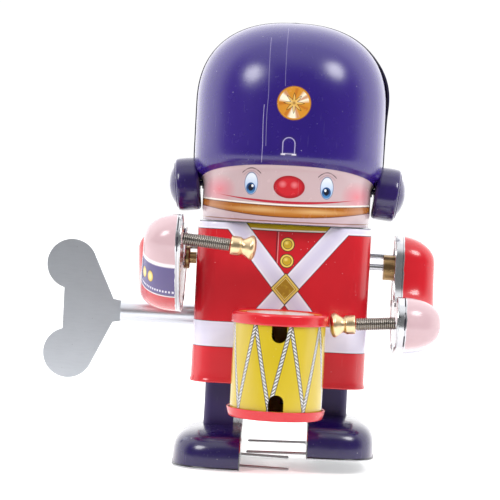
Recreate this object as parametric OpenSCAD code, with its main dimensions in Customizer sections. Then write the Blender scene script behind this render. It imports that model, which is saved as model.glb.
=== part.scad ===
// Wind-up tin drummer guard: pressed tin shells over a spring-driven gear train.
// Figure coordinates: X to the figure's left hand, -Y is its front, Z up from the floor.

/* [Head] */
// Height of the whole figure
total_h = 165; // [160:1:170]
// Height of the head's lower edge above the floor
head_z = 90; // [90:0.5:91]
// Half width of the face
face_w = 31.6; // [30:0.1:32]
// Half width of the hat
hat_w = 35.5; // [34:0.5:37]
// Half depth of the hat over half width
head_depth_share = 0.9; // [0.8:0.02:1]
// Height of the hat's lower edge at the middle of its arch
brim_z = 112; // [110:0.5:113]
// Height at which the dome starts to close
dome_z = 133; // [130:1:135]
// How square the head's outline is, 2 being an ellipse
head_square = 2.4; // [2:0.1:3]
// Height of the ear axis
ear_z = 103.3; // [102:0.1:105]
// Downward tilt of each ear
ear_tilt = 6.5; // [4:0.5:8]

/* [Tunic] */
// Half width of the tunic
tunic_w = 32.2; // [32:0.1:33]
// Half depth of the tunic
tunic_d = 22; // [21:0.5:22]
// Radius of the tunic's upright corners
tunic_r = 8; // [5:0.5:10]
// Height of the hem
hem_z = 30; // [29:0.5:30]

/* [Drum] */
// Radius of the drum's side
drum_r = 16.6; // [16:0.1:17]
// Radius of the drum's rims
rim_r = 17.6; // [17.2:0.1:17.8]
// Height of the drum's lower edge
drum_z = 20.4; // [20:0.1:21]
// Height of the drum from edge to edge
drum_h = 38.1; // [37:0.1:38.2]
// Height of the upper rim
rim_h = 4.3; // [4:0.1:5]
// Height of the lower rim
foot_rim_h = 3.6; // [3:0.1:4]
// How far the drum's axis stands in front of the figure's middle
drum_y = 40; // [40:0.1:40.4]

/* [Arms] */
// Height of the shoulder axle
shoulder_z = 75; // [74:0.5:76]
// Diameter of the shoulder axle
axle_d = 2.6; // [2.4:0.1:3]
// Distance from the middle to the right arm's inner plate
arm_x_right = 37; // [36:0.5:38]
// Distance from the middle to the left arm's inner plate
arm_x_left = 42; // [41:0.5:43]
// How far the raised arm stands above the lowered one, in degrees
arm_lift = 37; // [30:1:38]
// How far each arm swings, in degrees
arm_swing = 20; // [16:1:20]
// Half width of an arm seen from the side
arm_r = 9.4; // [9:0.1:9.6]
// How far the left arm bulges out from its inner plate at its hand
arm_depth = 16; // [14:0.5:17]
// Outer diameter of a drumstick's coil spring
stick_d = 4.6; // [4.2:0.1:5]

/* [Key] */
// Height of the key's axis
key_z = 53; // [53:0.5:54]
// How far the key's axis stands behind the figure's middle
key_y = 7.5; // [7:0.1:7.6]
// Distance from the middle to the far edge of the key's wing
key_reach = 90; // [88:1:92]
// Distance between the ends of the two lobes
key_span = 53; // [50:1:54]
// Diameter of the key's shank
shank_d = 8; // [7:0.1:8]

/* [Legs] */
// Distance from the middle to a leg's inner plate
leg_x = 12; // [12:0.1:12.4]
// Distance from the middle to a leg's outer side
leg_outer_x = 26.8; // [26:0.1:27]
// Half depth of a leg
leg_d = 9; // [8:0.5:9]
// Distance from the middle to a shoe's outer side
shoe_x = 37; // [36:0.5:38]
// Height of a shoe
shoe_h = 14; // [13:0.5:15]
// How far a shoe's toe stands in front of its leg's axis
toe_y = 36; // [34:0.5:36]
// How far a shoe's heel stands behind its leg's axis
heel_y = 14; // [13:0.5:15]
// Throw of the leg cranks
crank_throw = 4; // [3.6:0.1:4]
// How far the leg cranks stand past level, which lifts the left foot, in degrees
crank_rest = 38; // [0:1:38]
// Diameter of the outrigger wires
wire_d = 1; // [0.9:0.1:1.2]

/* [Clockwork] */
// Thickness of the pressed tin sheet
tin = 0.4; // [0.3:0.05:0.5]
// Distance from the middle to the outer side of each clockwork plate
plate_x = 10.5; // [10:0.1:10.8]
// Gear module
gear_module = 0.6; // [0.6]
// Teeth of the main gear
main_teeth = 44; // [44]
// Teeth of the pinions that the main gear drives
first_pinion_teeth = 10; // [10]
// Teeth of the intermediate wheels
wheel_teeth = 30; // [30]
// Teeth of the crank shafts' pinions
crank_pinion_teeth = 12; // [12]
// Radial running clearance of the shafts
running = 0.05; // [0.03:0.01:0.1]

/* [Hidden] */
$fn = 48;

// The origin is below the middle of the figure's box, so the figure stands off it by these
arm_outer_x = arm_x_left + arm_depth;
front_y = drum_y + rim_r;
back_y = hat_w * head_depth_share;
figure_x = (key_reach - arm_outer_x) / 2;
figure_y = (front_y - back_y) / 2;

// Clockwork layout in the Y-Z plane
shaft_r = 1;
arbor_r = 2;
pitch_main = main_teeth * gear_module / 2;
pitch_first = first_pinion_teeth * gear_module / 2;
pitch_wheel = wheel_teeth * gear_module / 2;
pitch_crank = crank_pinion_teeth * gear_module / 2;
arbor_at = [key_y, key_z];
leg_crank_at = [0, 37.5];
arm_crank_at = [4.6, 79];
upper_at = circles_meet(arbor_at, pitch_main + pitch_first, arm_crank_at, pitch_wheel + pitch_crank, 1);
lower_at = circles_meet(arbor_at, pitch_main + pitch_first, leg_crank_at, pitch_wheel + pitch_crank, 1);

// How far a leg's pin is from the crank axis, along Y and Z
pin_along = crank_throw * cos(crank_rest);
pin_drop = crank_throw * sin(crank_rest);

// Places along X of the parts of the train
main_x = -1.6;
main_t = 0.8;
ratchet_x = -2.6;
spring_x = -9.2;
spring_w = 6;
spring_turns = 7;
spring_steps = 18;
spring_pitch = 1.35;
spring_t = 0.35;
spring_inner = arbor_r + 0.1;
spring_outer = spring_inner + spring_turns * spring_pitch + spring_t;
wheel_x = 2;
wheel_t = 0.8;
pinion_t = 2;
first_pinion_x = -2.2;
crank_pinion_x = 1.4;
gear_thinning = 0.07;
pressure = 25;

// Key
neck_x = 60;
arbor_reach = neck_x - 4;

// Ratchet and click
ratchet_teeth = 12;
ratchet_r = 5;
ratchet_root = 4.2;
click_pivot_r = 9;
click_clear = 0.15;
stud_r = 0.6;
click_stud_r = 0.4;

// Where a pair of circles cross, on one side of the line between their centres
function circles_meet(a, ra, b, rb, side) =
    let (d = norm(b - a), u = (b - a) / d, along = (d * d + ra * ra - rb * rb) / (2 * d))
    a + u * along + side * sqrt(ra * ra - along * along) * [u[1], -u[0]];
function direction(a, b) = atan2(b[1] - a[1], b[0] - a[0]);

// Involute tooth flanks
function involute(angle) = tan(angle) * 180 / PI - angle;
function flank(teeth, r) =
    let (pitch = teeth * gear_module / 2, base = pitch * cos(pressure))
    90 / teeth * (1 - 2 * gear_thinning) + involute(pressure) - involute(acos(min(1, base / r)));
function tooth_radii(teeth) =
    let (pitch = teeth * gear_module / 2, base = pitch * cos(pressure),
         root = pitch - 1.15 * gear_module, tip = pitch + 0.85 * gear_module)
    [root, max(base, root + 0.05), pitch, (pitch + tip) / 2, tip];
function polar(r, angle) = [r * cos(angle), r * sin(angle)];
function gear_outline(teeth, phase) = [
    for (i = [0:teeth - 1]) let (middle = phase + 360 * i / teeth, radii = tooth_radii(teeth))
        each concat(
            [for (k = [0:4]) polar(radii[k], middle - flank(teeth, radii[k]))],
            [for (k = [4:-1:0]) polar(radii[k], middle + flank(teeth, radii[k]))])
];

// Superellipse helpers
function bend(value, power) = sign(value) * pow(abs(value), power);

// A pressing has an outer and an inner skin, each a list of rows, joined round their edges.
// A row end that closes to a point has a pole, given as [outer, inner]; otherwise it is undef.
function quad(a, b, c, d) = [[a, b, c], [a, c, d]];
function pressing_faces(rows, n, start, end) =
    let (m = rows - 1, j_end = n - 1, inner = rows * n, pole = 2 * rows * n, tail = pole + (start ? 2 : 0))
    concat(
        [for (i = [0:m - 1], j = [0:j_end - 1])
            each quad(i * n + j, i * n + j + 1, (i + 1) * n + j + 1, (i + 1) * n + j)],
        [for (i = [0:m - 1], j = [0:j_end - 1])
            each quad(inner + i * n + j, inner + (i + 1) * n + j,
                      inner + (i + 1) * n + j + 1, inner + i * n + j + 1)],
        [for (i = [0:m - 1])
            each quad(i * n, (i + 1) * n, inner + (i + 1) * n, inner + i * n)],
        [for (i = [0:m - 1])
            each quad((i + 1) * n + j_end, i * n + j_end, inner + i * n + j_end,
                      inner + (i + 1) * n + j_end)],
        start
            ? concat(
                [for (j = [0:j_end - 1]) [j + 1, j, pole]],
                [for (j = [0:j_end - 1]) [inner + j, inner + j + 1, pole + 1]],
                quad(pole, 0, inner, pole + 1),
                quad(j_end, pole, pole + 1, inner + j_end))
            : [for (j = [0:j_end - 1]) each quad(j + 1, j, inner + j, inner + j + 1)],
        end
            ? concat(
                [for (j = [0:j_end - 1]) [m * n + j, m * n + j + 1, tail]],
                [for (j = [0:j_end - 1]) [inner + m * n + j + 1, inner + m * n + j, tail + 1]],
                quad(m * n, tail, tail + 1, inner + m * n),
                quad(tail, m * n + j_end, inner + m * n + j_end, tail + 1))
            : [for (j = [0:j_end - 1])
                each quad(m * n + j, m * n + j + 1, inner + m * n + j + 1, inner + m * n + j)]);
module pressing(outer, inner, start, end) {
    points = concat(
        [for (row = outer) each row], [for (row = inner) each row],
        start == undef ? [] : start, end == undef ? [] : end);
    polyhedron(points = points,
               faces = pressing_faces(len(outer), len(outer[0]), start != undef, end != undef));
}

// Sets the figure over the origin
module place() {
    translate([figure_x, figure_y, 0]) children();
}
// Turns a drawing in the X-Y plane so that its axis lies along X, its X becomes Y and its Y becomes Z
module across(at, x) {
    translate([x, at[0], at[1]]) rotate([90, 0, 90]) children();
}
// Draws children on the figure's left, or mirrored on its right
module on_side(side) {
    if (side > 0) children();
    else mirror([1, 0, 0]) children();
}

// ---------- Head ----------
brim_drop = 6.5;
brim_turn = 1.2;
head_steps = 20;
// Rows of the head: [height, half width, how far the row follows the brim's arch]
head_lower = [
    [head_z, face_w - 0.4, 0], [head_z + 2.5, face_w, 0], [head_z + 10, face_w, 0],
    [brim_z - 1.5, face_w, 1], [brim_z, face_w + 1.6, 1], [brim_z + brim_turn, hat_w - 0.8, 1],
    [brim_z + 4, hat_w, 0.8], [dome_z - 9, hat_w, 0.2], [dome_z, hat_w, 0]
];
dome_angles = [14, 28, 42, 54, 66, 77];
function dome_row(angle, skin) = [
    dome_z + (total_h - dome_z - skin) * bend(sin(angle), 2 / head_square),
    (hat_w - skin) * bend(cos(angle), 2 / head_square), 0];
function head_rows(skin) = concat(
    [for (row = head_lower) [row[0], row[1] - skin, row[2]]],
    [for (angle = dome_angles) dome_row(angle, skin)]);
function head_skin(skin, face) = [
    for (row = head_rows(skin)) [
        for (j = [0:head_steps]) let (a = 180 * j / head_steps)
            [-row[1] * bend(cos(a), 2 / head_square),
             -face * row[1] * head_depth_share * bend(sin(a), 2 / head_square),
             row[0] - row[2] * brim_drop * (face > 0 ? 1 - sin(a) : 1)]]];
module head_half(face) {
    pole = [[0, 0, total_h], [0, 0, total_h - tin]];
    pressing(head_skin(0, face), head_skin(tin, face), undef, pole);
}
module head_front_shell() {
    color("indigo") head_half(1);
}
module head_rear_shell() {
    color("indigo") mirror([0, 1, 0]) head_half(1);
}

// Ears: drawn on their own axis, outward along Z, then laid along X
ear_flange_r = 7;
ear_cup_r = 10;
ear_cap_r = 7.5;
ear_stem_r = 1;
ear_cup_start = 3.3;
// The flange is cut off flat this far above its axis, below the hat
ear_flange_trim = 1.2;
ear_start = 31.9;
module ear_axis(side) {
    on_side(side) translate([ear_start, 0, ear_z]) rotate([0, 90 + ear_tilt, 0]) children();
}
module ear_flange(side) {
    color("indigo") ear_axis(side) difference() {
        rotate_extrude()
            polygon([[0, 0], [ear_stem_r, 0], [ear_stem_r, 0.7], [ear_flange_r, 1.1], [ear_flange_r, 1.6],
                     [ear_stem_r, 1.2], [ear_stem_r, ear_cup_start], [0, ear_cup_start]]);
        translate([-ear_flange_trim - ear_cup_r, -ear_cup_r, -1]) cube([ear_cup_r, 2 * ear_cup_r, ear_cup_r]);
    }
}
module ear_cup(side) {
    color("indigo") ear_axis(side) rotate_extrude()
        polygon([[0, ear_cup_start], [8.6, ear_cup_start], [9.6, 3.6], [ear_cup_r, 4.3], [ear_cup_r, 9],
                 [8.6, 9.9], [8.3, 9.9], [8.3, 9.5], [9.6, 8.8], [9.6, 4.4], [9.4, 4], [8.6, 3.7], [0, 3.7]]);
}
module ear_cap(side) {
    color("indigo") ear_axis(side) rotate_extrude()
        polygon([[0, 12.6], [3, 12.3], [5.4, 11.5], [7, 10.2], [ear_cap_r, 9.9], [8.2, 9.9], [8.2, 9.5],
                 [6.9, 9.6], [5.2, 11.1], [2.9, 11.9], [0, 12.2]]);
}

// ---------- Tunic ----------
leg_gap = 0.8;
leg_slot_y = leg_d + crank_throw + leg_gap;
leg_side_gap = 0.7;
neck_r = 12;
hole_gap = 0.4;
module rounded(w, d, r) {
    square([2 * w, 2 * (d - r)], center = true);
    square([2 * (w - r), 2 * d], center = true);
    for (x = [-1, 1], y = [-1, 1]) translate([x * (w - r), y * (d - r)]) circle(r);
}
module tunic_wall() {
    difference() {
        rounded(tunic_w, tunic_d, tunic_r);
        rounded(tunic_w - tin, tunic_d - tin, tunic_r - tin);
    }
}
module side_holes() {
    across([0, shoulder_z], -tunic_w - 1) cylinder(h = 2 * tunic_w + 2, r = axle_d / 2 + hole_gap);
    across(arm_crank_at, -tunic_w - 1) cylinder(h = 2 * tunic_w + 2, r = shaft_r + hole_gap);
    across(arbor_at, -tunic_w - 1) cylinder(h = tunic_w, r = shank_d / 2 + hole_gap);
}
module tunic_half(face) {
    difference() {
        translate([0, 0, hem_z]) linear_extrude(head_z - tin - hem_z) intersection() {
            tunic_wall();
            translate([-2 * tunic_w, face < 0 ? -2 * tunic_d : 0]) square([4 * tunic_w, 2 * tunic_d]);
        }
        side_holes();
    }
}
module tunic_front_shell() {
    color("crimson") tunic_half(-1);
}
module tunic_rear_shell() {
    color("crimson") tunic_half(1);
}
module tunic_top_plate() {
    color("silver") translate([0, 0, head_z - tin]) linear_extrude(tin) difference() {
        rounded(tunic_w, tunic_d, tunic_r);
        circle(neck_r);
    }
}
module tunic_base_plate() {
    color("silver") translate([0, 0, hem_z + 1]) linear_extrude(tin) difference() {
        rounded(tunic_w - tin, tunic_d - tin, tunic_r - tin);
        for (x = [-1, 1]) translate([x * (leg_x + leg_outer_x) / 2, 0])
            square([leg_outer_x - leg_x + 2 * leg_side_gap, 2 * leg_slot_y], center = true);
    }
}

// ---------- Drum ----------
rim_lip = 0.6;
module on_drum() {
    translate([0, -drum_y, drum_z]) children();
}
slot_r = 2.7;
slot_rise = 3.2;
// An arched slot in the front of the drum's side, its round end at a height and its legs up or down
module drum_slot(z, up) {
    translate([0, -drum_r, z]) rotate([90, 0, 0]) {
        cylinder(h = 2 * slot_r, r = slot_r, center = true);
        translate([-slot_r, up ? 0 : -rim_h - slot_rise, -slot_r])
            cube([2 * slot_r, rim_h + slot_rise, 2 * slot_r]);
    }
}
module drum_shell() {
    color("gold") on_drum() difference() {
        translate([0, 0, tin]) cylinder(h = drum_h - 3 * tin, r = drum_r);
        cylinder(h = drum_h, r = drum_r - tin);
        intersection() {
            translate([0, 0, foot_rim_h]) cylinder(h = drum_h - rim_h - foot_rim_h, r = rim_r);
            union() {
                drum_slot(foot_rim_h + slot_rise, false);
                drum_slot(drum_h - rim_h - slot_rise, true);
            }
        }
    }
}
module drum_head() {
    color("crimson") on_drum() translate([0, 0, drum_h]) rotate_extrude()
        polygon([[0, -tin], [drum_r - rim_lip, -tin], [drum_r - 0.2, 0], [rim_r - 0.4, -0.3], [rim_r, -1],
                 [rim_r, -rim_h + 0.6], [rim_r - 0.5, -rim_h], [drum_r, -rim_h], [drum_r, -tin - 0.4],
                 [drum_r - 0.2, -tin - 0.4], [0, -2 * tin]]);
}
module drum_bottom() {
    color("crimson") on_drum() rotate_extrude()
        polygon([[0, 0], [drum_r, 0], [rim_r - 0.4, 0.4], [rim_r, foot_rim_h], [rim_r - 0.4, foot_rim_h],
                 [drum_r, 0.7], [drum_r, tin], [0, tin]]);
}
bracket_w = 8;
bracket_h = 14;
bracket_z = 12;
module drum_bracket() {
    overlap = 1;
    reach = drum_y - drum_r - tunic_d;
    color("silver") difference() {
        translate([-bracket_w / 2, -tunic_d - reach - overlap, drum_z + bracket_z])
            cube([bracket_w, reach + overlap, bracket_h]);
        translate([0, -drum_y, 0]) cylinder(h = drum_z + drum_h, r = drum_r);
    }
}

// ---------- Clockwork ----------
plate_bottom = hem_z + 1 + tin;
plate_top = 86;
plate_y = tunic_d - tin;
post_r = 1.2;
post_at = [[-18, 33], [15, 34], [-15, 72], [16, 82]];
anchor_r = 0.5;
module clockwork_plate(side) {
    color("silver") difference() {
        translate([side > 0 ? plate_x - tin : -plate_x, -plate_y, plate_bottom])
            cube([tin, 2 * plate_y, plate_top - plate_bottom]);
        for (at = [arm_crank_at, leg_crank_at, upper_at, lower_at])
            across(at, -plate_x - 1) cylinder(h = 2 * plate_x + 2, r = shaft_r + running);
        across(arbor_at, -plate_x - 1) cylinder(h = 2 * plate_x + 2, r = arbor_r + running);
        across([0, shoulder_z], -plate_x - 1) cylinder(h = 2 * plate_x + 2, r = axle_d / 2);
    }
}
module frame_posts() {
    color("silver") {
        for (at = post_at) across(at, -plate_x + tin) cylinder(h = 2 * (plate_x - tin), r = post_r);
        across(arbor_at + [spring_outer + anchor_r, 0], -plate_x + tin)
            cylinder(h = spring_x + spring_w + plate_x - tin, r = anchor_r);
    }
}
function spiral(r0) = [for (i = [0:spring_turns * spring_steps])
    polar(r0 + spring_pitch * i / spring_steps, 360 * i / spring_steps)];
function backwards(list) = [for (i = [len(list) - 1:-1:0]) list[i]];
module mainspring() {
    color("steelblue") across(arbor_at, spring_x) linear_extrude(spring_w)
        polygon(concat(spiral(spring_inner + spring_t), backwards(spiral(spring_inner))));
}
module winding_arbor() {
    color("silver") across(arbor_at, -arbor_reach) cylinder(h = arbor_reach + plate_x + 1, r = arbor_r);
}
module ratchet_wheel() {
    color("goldenrod") across(arbor_at, ratchet_x) linear_extrude(main_t) difference() {
        polygon([for (i = [0:ratchet_teeth - 1]) let (a = 360 * i / ratchet_teeth)
            each [polar(ratchet_root, a), polar(ratchet_r, a)]]);
        circle(arbor_r);
    }
}
click_stud = polar(10.5, 45);
module click_on(x) {
    across(arbor_at, x) rotate(-60) children();
}
module click() {
    color("goldenrod") click_on(ratchet_x) linear_extrude(main_t) difference() {
        union() {
            translate([click_pivot_r, 0]) circle(1.5);
            polygon([[click_pivot_r - 0.6, -1.2], [click_pivot_r + 0.4, 1.2], polar(ratchet_r + 1.6, 38),
                     polar(ratchet_r + click_clear, 35)]);
        }
        translate([click_pivot_r, 0]) circle(stud_r + running);
    }
}
module click_spring() {
    color("silver") click_on(ratchet_x) linear_extrude(main_t)
        polygon([click_stud + [-0.2, -0.35], click_stud + [0.1, -0.4], [click_pivot_r - 0.97, 2.96],
                 [click_pivot_r - 1.27, 3.16]]);
}
module gear(teeth, phase, thickness, bore) {
    linear_extrude(thickness) difference() {
        polygon(gear_outline(teeth, phase));
        circle(bore);
    }
}
module main_gear() {
    color("goldenrod") {
        across(arbor_at, main_x) gear(main_teeth, direction(arbor_at, upper_at), main_t, arbor_r + running);
        click_on(ratchet_x) translate([click_pivot_r, 0]) cylinder(h = main_x - ratchet_x, r = stud_r);
        click_on(ratchet_x) translate(click_stud) cylinder(h = main_x - ratchet_x, r = click_stud_r);
    }
}
// A pinion's gap faces the tooth of the wheel that drives it
function gap_phase(from, to, teeth) = direction(to, from) + 180 / teeth;
// A wheel tooth faces along the line to its neighbour. The main gear's does so towards the upper pinion;
// towards the lower one, its nearest tooth stands off the line by this angle
function nearest_turn(angle, phase, teeth) =
    let (step = 360 / teeth) (angle - phase) - step * round((angle - phase) / step);
lower_slip = nearest_turn(direction(arbor_at, lower_at), direction(arbor_at, upper_at), main_teeth);
module shaft_with_pinion(at, teeth, phase, x) {
    across(at, -plate_x) cylinder(h = 2 * plate_x, r = shaft_r);
    across(at, x) gear(teeth, phase, pinion_t, shaft_r / 2);
}
module upper_pinion() {
    color("goldenrod")
        shaft_with_pinion(upper_at, first_pinion_teeth, gap_phase(arbor_at, upper_at, first_pinion_teeth),
                          first_pinion_x);
}
module lower_pinion() {
    color("goldenrod")
        shaft_with_pinion(lower_at, first_pinion_teeth,
                          gap_phase(arbor_at, lower_at, first_pinion_teeth)
                              + lower_slip * main_teeth / first_pinion_teeth,
                          first_pinion_x);
}
module upper_wheel() {
    color("goldenrod") across(upper_at, wheel_x)
        gear(wheel_teeth, direction(upper_at, arm_crank_at), wheel_t, shaft_r);
}
module lower_wheel() {
    color("goldenrod") across(lower_at, wheel_x)
        gear(wheel_teeth, direction(lower_at, leg_crank_at), wheel_t, shaft_r);
}
arm_crank_gap = 0.6;
arm_crank_reach = arm_x_right + tin + arm_crank_gap;
arm_crank_reach_left = arm_x_left + tin + arm_crank_gap;
web_t = 0.8;
arm_throw = 1.75;
pin_r = 0.7;
module arm_crank_shaft() {
    color("silver") across(arm_crank_at, -arm_crank_reach - web_t)
        cylinder(h = arm_crank_reach + arm_crank_reach_left + 2 * web_t, r = shaft_r);
}
module arm_crank_pinion() {
    color("goldenrod") across(arm_crank_at, crank_pinion_x)
        gear(crank_pinion_teeth, gap_phase(upper_at, arm_crank_at, crank_pinion_teeth), pinion_t, shaft_r);
}
// A crank web with a pin, its shaft end at the start of its thickness and its throw along X
module crank(throw, bore, length) {
    difference() {
        union() {
            cylinder(h = web_t, r = bore + 0.8);
            translate([0, -bore, 0]) cube([throw, 2 * bore, web_t]);
            translate([throw, 0, 0]) cylinder(h = web_t, r = bore + 0.4);
        }
        translate([0, 0, -1]) cylinder(h = web_t + 2, r = bore);
    }
    translate([throw, 0, 0]) cylinder(h = web_t + length, r = pin_r);
}
module arm_crank(side) {
    reach = side > 0 ? arm_crank_reach_left : arm_crank_reach;
    color("silver") on_side(side) across(arm_crank_at, reach)
        rotate(side > 0 ? 90 : -90) crank(arm_throw, shaft_r, 1);
}
module leg_crank_shaft() {
    color("silver") across(leg_crank_at, -plate_x - 1) cylinder(h = 2 * plate_x + 2, r = shaft_r);
}
module leg_crank_pinion() {
    color("goldenrod") across(leg_crank_at, crank_pinion_x)
        gear(crank_pinion_teeth, gap_phase(lower_at, leg_crank_at, crank_pinion_teeth), pinion_t, shaft_r);
}
// How far a leg crank stands off its clockwork plate
crank_gap = 0.2;
module leg_crank(side) {
    color("silver") on_side(side) across(leg_crank_at, plate_x + crank_gap)
        rotate(side > 0 ? crank_rest : crank_rest + 180)
            crank(crank_throw, shaft_r, leg_x + tin - plate_x - crank_gap);
}

// ---------- Key ----------
wing_t = 1.2;
wing_slot = 3;
lobe_r = 9.5;
// Where a lobe's edge runs into the wing's straight side, from the lobe's centre
lobe_side = 8.4;
lobe_rise = 4.4;
shank_inside = 3;
module key_shank() {
    color("silver") across(arbor_at, -neck_x - 1) difference() {
        cylinder(h = neck_x + 1 - tunic_w + shank_inside, r = shank_d / 2);
        translate([0, 0, neck_x + 1 - arbor_reach]) cylinder(h = neck_x, r = arbor_r);
        translate([-wing_t / 2, -shank_d, -1]) cube([wing_t, 2 * shank_d, wing_slot + 1]);
    }
}
module key_wing() {
    lobe_z = key_span / 2 - lobe_r;
    lobe_x = key_reach - lobe_r;
    waist_x = key_reach - 7;
    color("gray") translate([0, arbor_at[0] + wing_t / 2, key_z]) rotate([90, 0, 0]) linear_extrude(wing_t)
        union() {
            for (s = [-1, 1]) translate([-lobe_x, s * lobe_z]) circle(lobe_r);
            polygon([[-neck_x - 1 + wing_slot, -3.4], [-neck_x - 1 + wing_slot, 3.4], [-neck_x - 4, 4.4],
                     [-lobe_x + lobe_side, lobe_z + lobe_rise], [-lobe_x, lobe_z], [-waist_x, lobe_z - 3],
                     [-waist_x, 3 - lobe_z], [-lobe_x, -lobe_z], [-lobe_x + lobe_side, -lobe_z - lobe_rise],
                     [-neck_x - 4, -4.4]]);
        }
}

// ---------- Arms ----------
// Side view of a lowered arm about its axle, as [forward, up]: a curve from shoulder to hand
arm_start = [0, 3];
arm_elbow = [-2, -30];
arm_hand = [36.5, -18.5];
arm_steps = 10;
arm_round = 12;
arm_square = 2.5;
// How far each arm bulges out at its shoulder and its hand: the right one hangs closer in at the hand
arm_bulge_right = [18, 13.5];
arm_bulge_left = [arm_depth - 1, arm_depth];
cap_angles = [72, 52, 34, 17];
function arm_at(s) = (1 - s) * (1 - s) * arm_start + 2 * s * (1 - s) * arm_elbow + s * s * arm_hand;
function unit(v) = v / norm(v);
function arm_along(s) = unit((1 - s) * (arm_elbow - arm_start) + s * (arm_hand - arm_elbow));
// Stations of the arm: [centre, direction along, share of the full half width, share of the way to the hand]
arm_stations = concat(
    [for (e = cap_angles) [arm_at(0) - arm_along(0) * arm_r * sin(e), arm_along(0), cos(e), 0]],
    [for (i = [0:arm_steps]) [arm_at(i / arm_steps), arm_along(i / arm_steps), 1, i / arm_steps]],
    [for (e = backwards(cap_angles)) [arm_at(1) + arm_along(1) * arm_r * sin(e), arm_along(1), cos(e), 1]]);
function arm_pole(skin, end) = arm_at(end) + (2 * end - 1) * arm_along(end) * (arm_r - skin);
function in_space(p, x) = [x, -p[0], p[1]];
function arm_row(station, skin, bulge) =
    let (c = station[0], t = station[1], across = [-t[1], t[0]], r = arm_r * station[2] - skin,
         depth = (bulge[0] + (bulge[1] - bulge[0]) * station[3] - tin) * station[2] - skin)
    [for (j = [0:arm_round]) let (a = 180 * j / arm_round)
        in_space(c + across * r * bend(cos(a), 2 / arm_square), tin + depth * bend(sin(a), 2 / arm_square))];
module arm_rest(side) {
    turn = side > 0 ? 0 : -arm_lift;
    on_side(side) translate([side > 0 ? arm_x_left : arm_x_right, 0, shoulder_z]) rotate([turn, 0, 0])
        children();
}
module arm_shell(side) {
    bulge = side > 0 ? arm_bulge_left : arm_bulge_right;
    color("crimson") arm_rest(side)
        pressing([for (st = arm_stations) arm_row(st, 0, bulge)],
                 [for (st = arm_stations) arm_row(st, tin, bulge)],
                 [in_space(arm_pole(0, 0), tin), in_space(arm_pole(tin, 0), tin)],
                 [in_space(arm_pole(0, 1), tin), in_space(arm_pole(tin, 1), tin)]);
}
function arm_edge(sign_of) = [for (st = arm_stations)
    let (p = st[0] + sign_of * [-st[1][1], st[1][0]] * arm_r * st[2]) [-p[0], p[1]]];
window_r = 2.9;
crank_from_axle = [arm_crank_at[0], arm_crank_at[1] - shoulder_z];
stick_at = [38, -18.5];
module arm_plate(side) {
    window_turn = side > 0 ? arm_swing / 2 : arm_lift - arm_swing / 2;
    color("silver") arm_rest(side) difference() {
        rotate([90, 0, 90]) linear_extrude(tin)
            polygon(concat(arm_edge(1), backwards(arm_edge(-1))));
        rotate([90, 0, 90]) translate([0, 0, -1]) cylinder(h = 3, r = axle_d / 2 + running);
        rotate([window_turn, 0, 0]) translate([0, crank_from_axle[0], crank_from_axle[1]])
            rotate([90, 0, 90]) translate([0, 0, -1]) cylinder(h = 3, r = window_r);
    }
}
bush_l = 4.2;
bush_r = 4.75;
module shoulder_bush(side) {
    color("goldenrod") arm_rest(side) translate([-bush_l, 0, 0]) rotate([90, 0, 90]) difference() {
        cylinder(h = bush_l, r = bush_r);
        translate([0, 0, -1]) cylinder(h = bush_l + 2, r = axle_d / 2 + running);
    }
}
axle_head_r = 2.4;
axle_head_t = 1;
module shoulder_axle() {
    left_end = arm_x_left + tin + 0.3;
    right_end = arm_x_right + tin + 0.3;
    color("silver") {
        across([0, shoulder_z], -right_end) cylinder(h = left_end + right_end, r = axle_d / 2);
        across([0, shoulder_z], left_end) cylinder(h = axle_head_t, r = axle_head_r);
        across([0, shoulder_z], -right_end - axle_head_t) cylinder(h = axle_head_t, r = axle_head_r);
    }
}
stick_slope = 4.7;
stick_bore = 1.4;
// How far a stick's spring stands off the hand's plate
stick_gap = 0.2;
stick_reach_right = 27;
stick_reach_left = 24;
tip_l = 9.3;
// Draws children along a stick's axis, inward from the hand's plate
module stick_axis(side) {
    turn = side > 0 ? 0 : -arm_lift;
    hand = [-stick_at[0] * cos(turn) - stick_at[1] * sin(turn),
            stick_at[1] * cos(turn) - stick_at[0] * sin(turn)];
    on_side(side) translate([side > 0 ? arm_x_left : arm_x_right, hand[0], shoulder_z + hand[1]])
        rotate([0, -90 - stick_slope, 0]) children();
}
module stick_spring(side) {
    reach = (side > 0 ? stick_reach_left : stick_reach_right) - tip_l;
    color("dimgray") stick_axis(side) translate([0, 0, stick_gap]) difference() {
        cylinder(h = reach, r = stick_d / 2);
        translate([0, 0, -1]) cylinder(h = reach + 2, r = stick_bore);
    }
}
module stick_tip(side) {
    reach = (side > 0 ? stick_reach_left : stick_reach_right) - tip_l;
    color("gold") stick_axis(side) translate([0, 0, reach + stick_gap]) rotate_extrude()
        polygon([[0, 0], [3.2, 0], [3.45, 0.3], [3.45, 3.4], [2.9, 4], [2.9, 4.8], [4.4, 7], [4.5, 7.6],
                 [4.1, 8.5], [2.6, 9.1], [0, tip_l]]);
}

// ---------- Legs ----------
leg_top = 42;
flange_w = 3.5;
sole_t = 0.4;
sole_edge = 0.5;
// Each leg is carried round by its crank: the right foot is forward and down, the left one back and up
module leg_rest(side) {
    lift = side > 0 ? 2 * pin_drop : 0;
    on_side(side) translate([0, side * pin_along, lift]) children();
}
leg_corner = 3;
leg_shell_z = 12.5;
leg_shell_top = 36;
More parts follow.
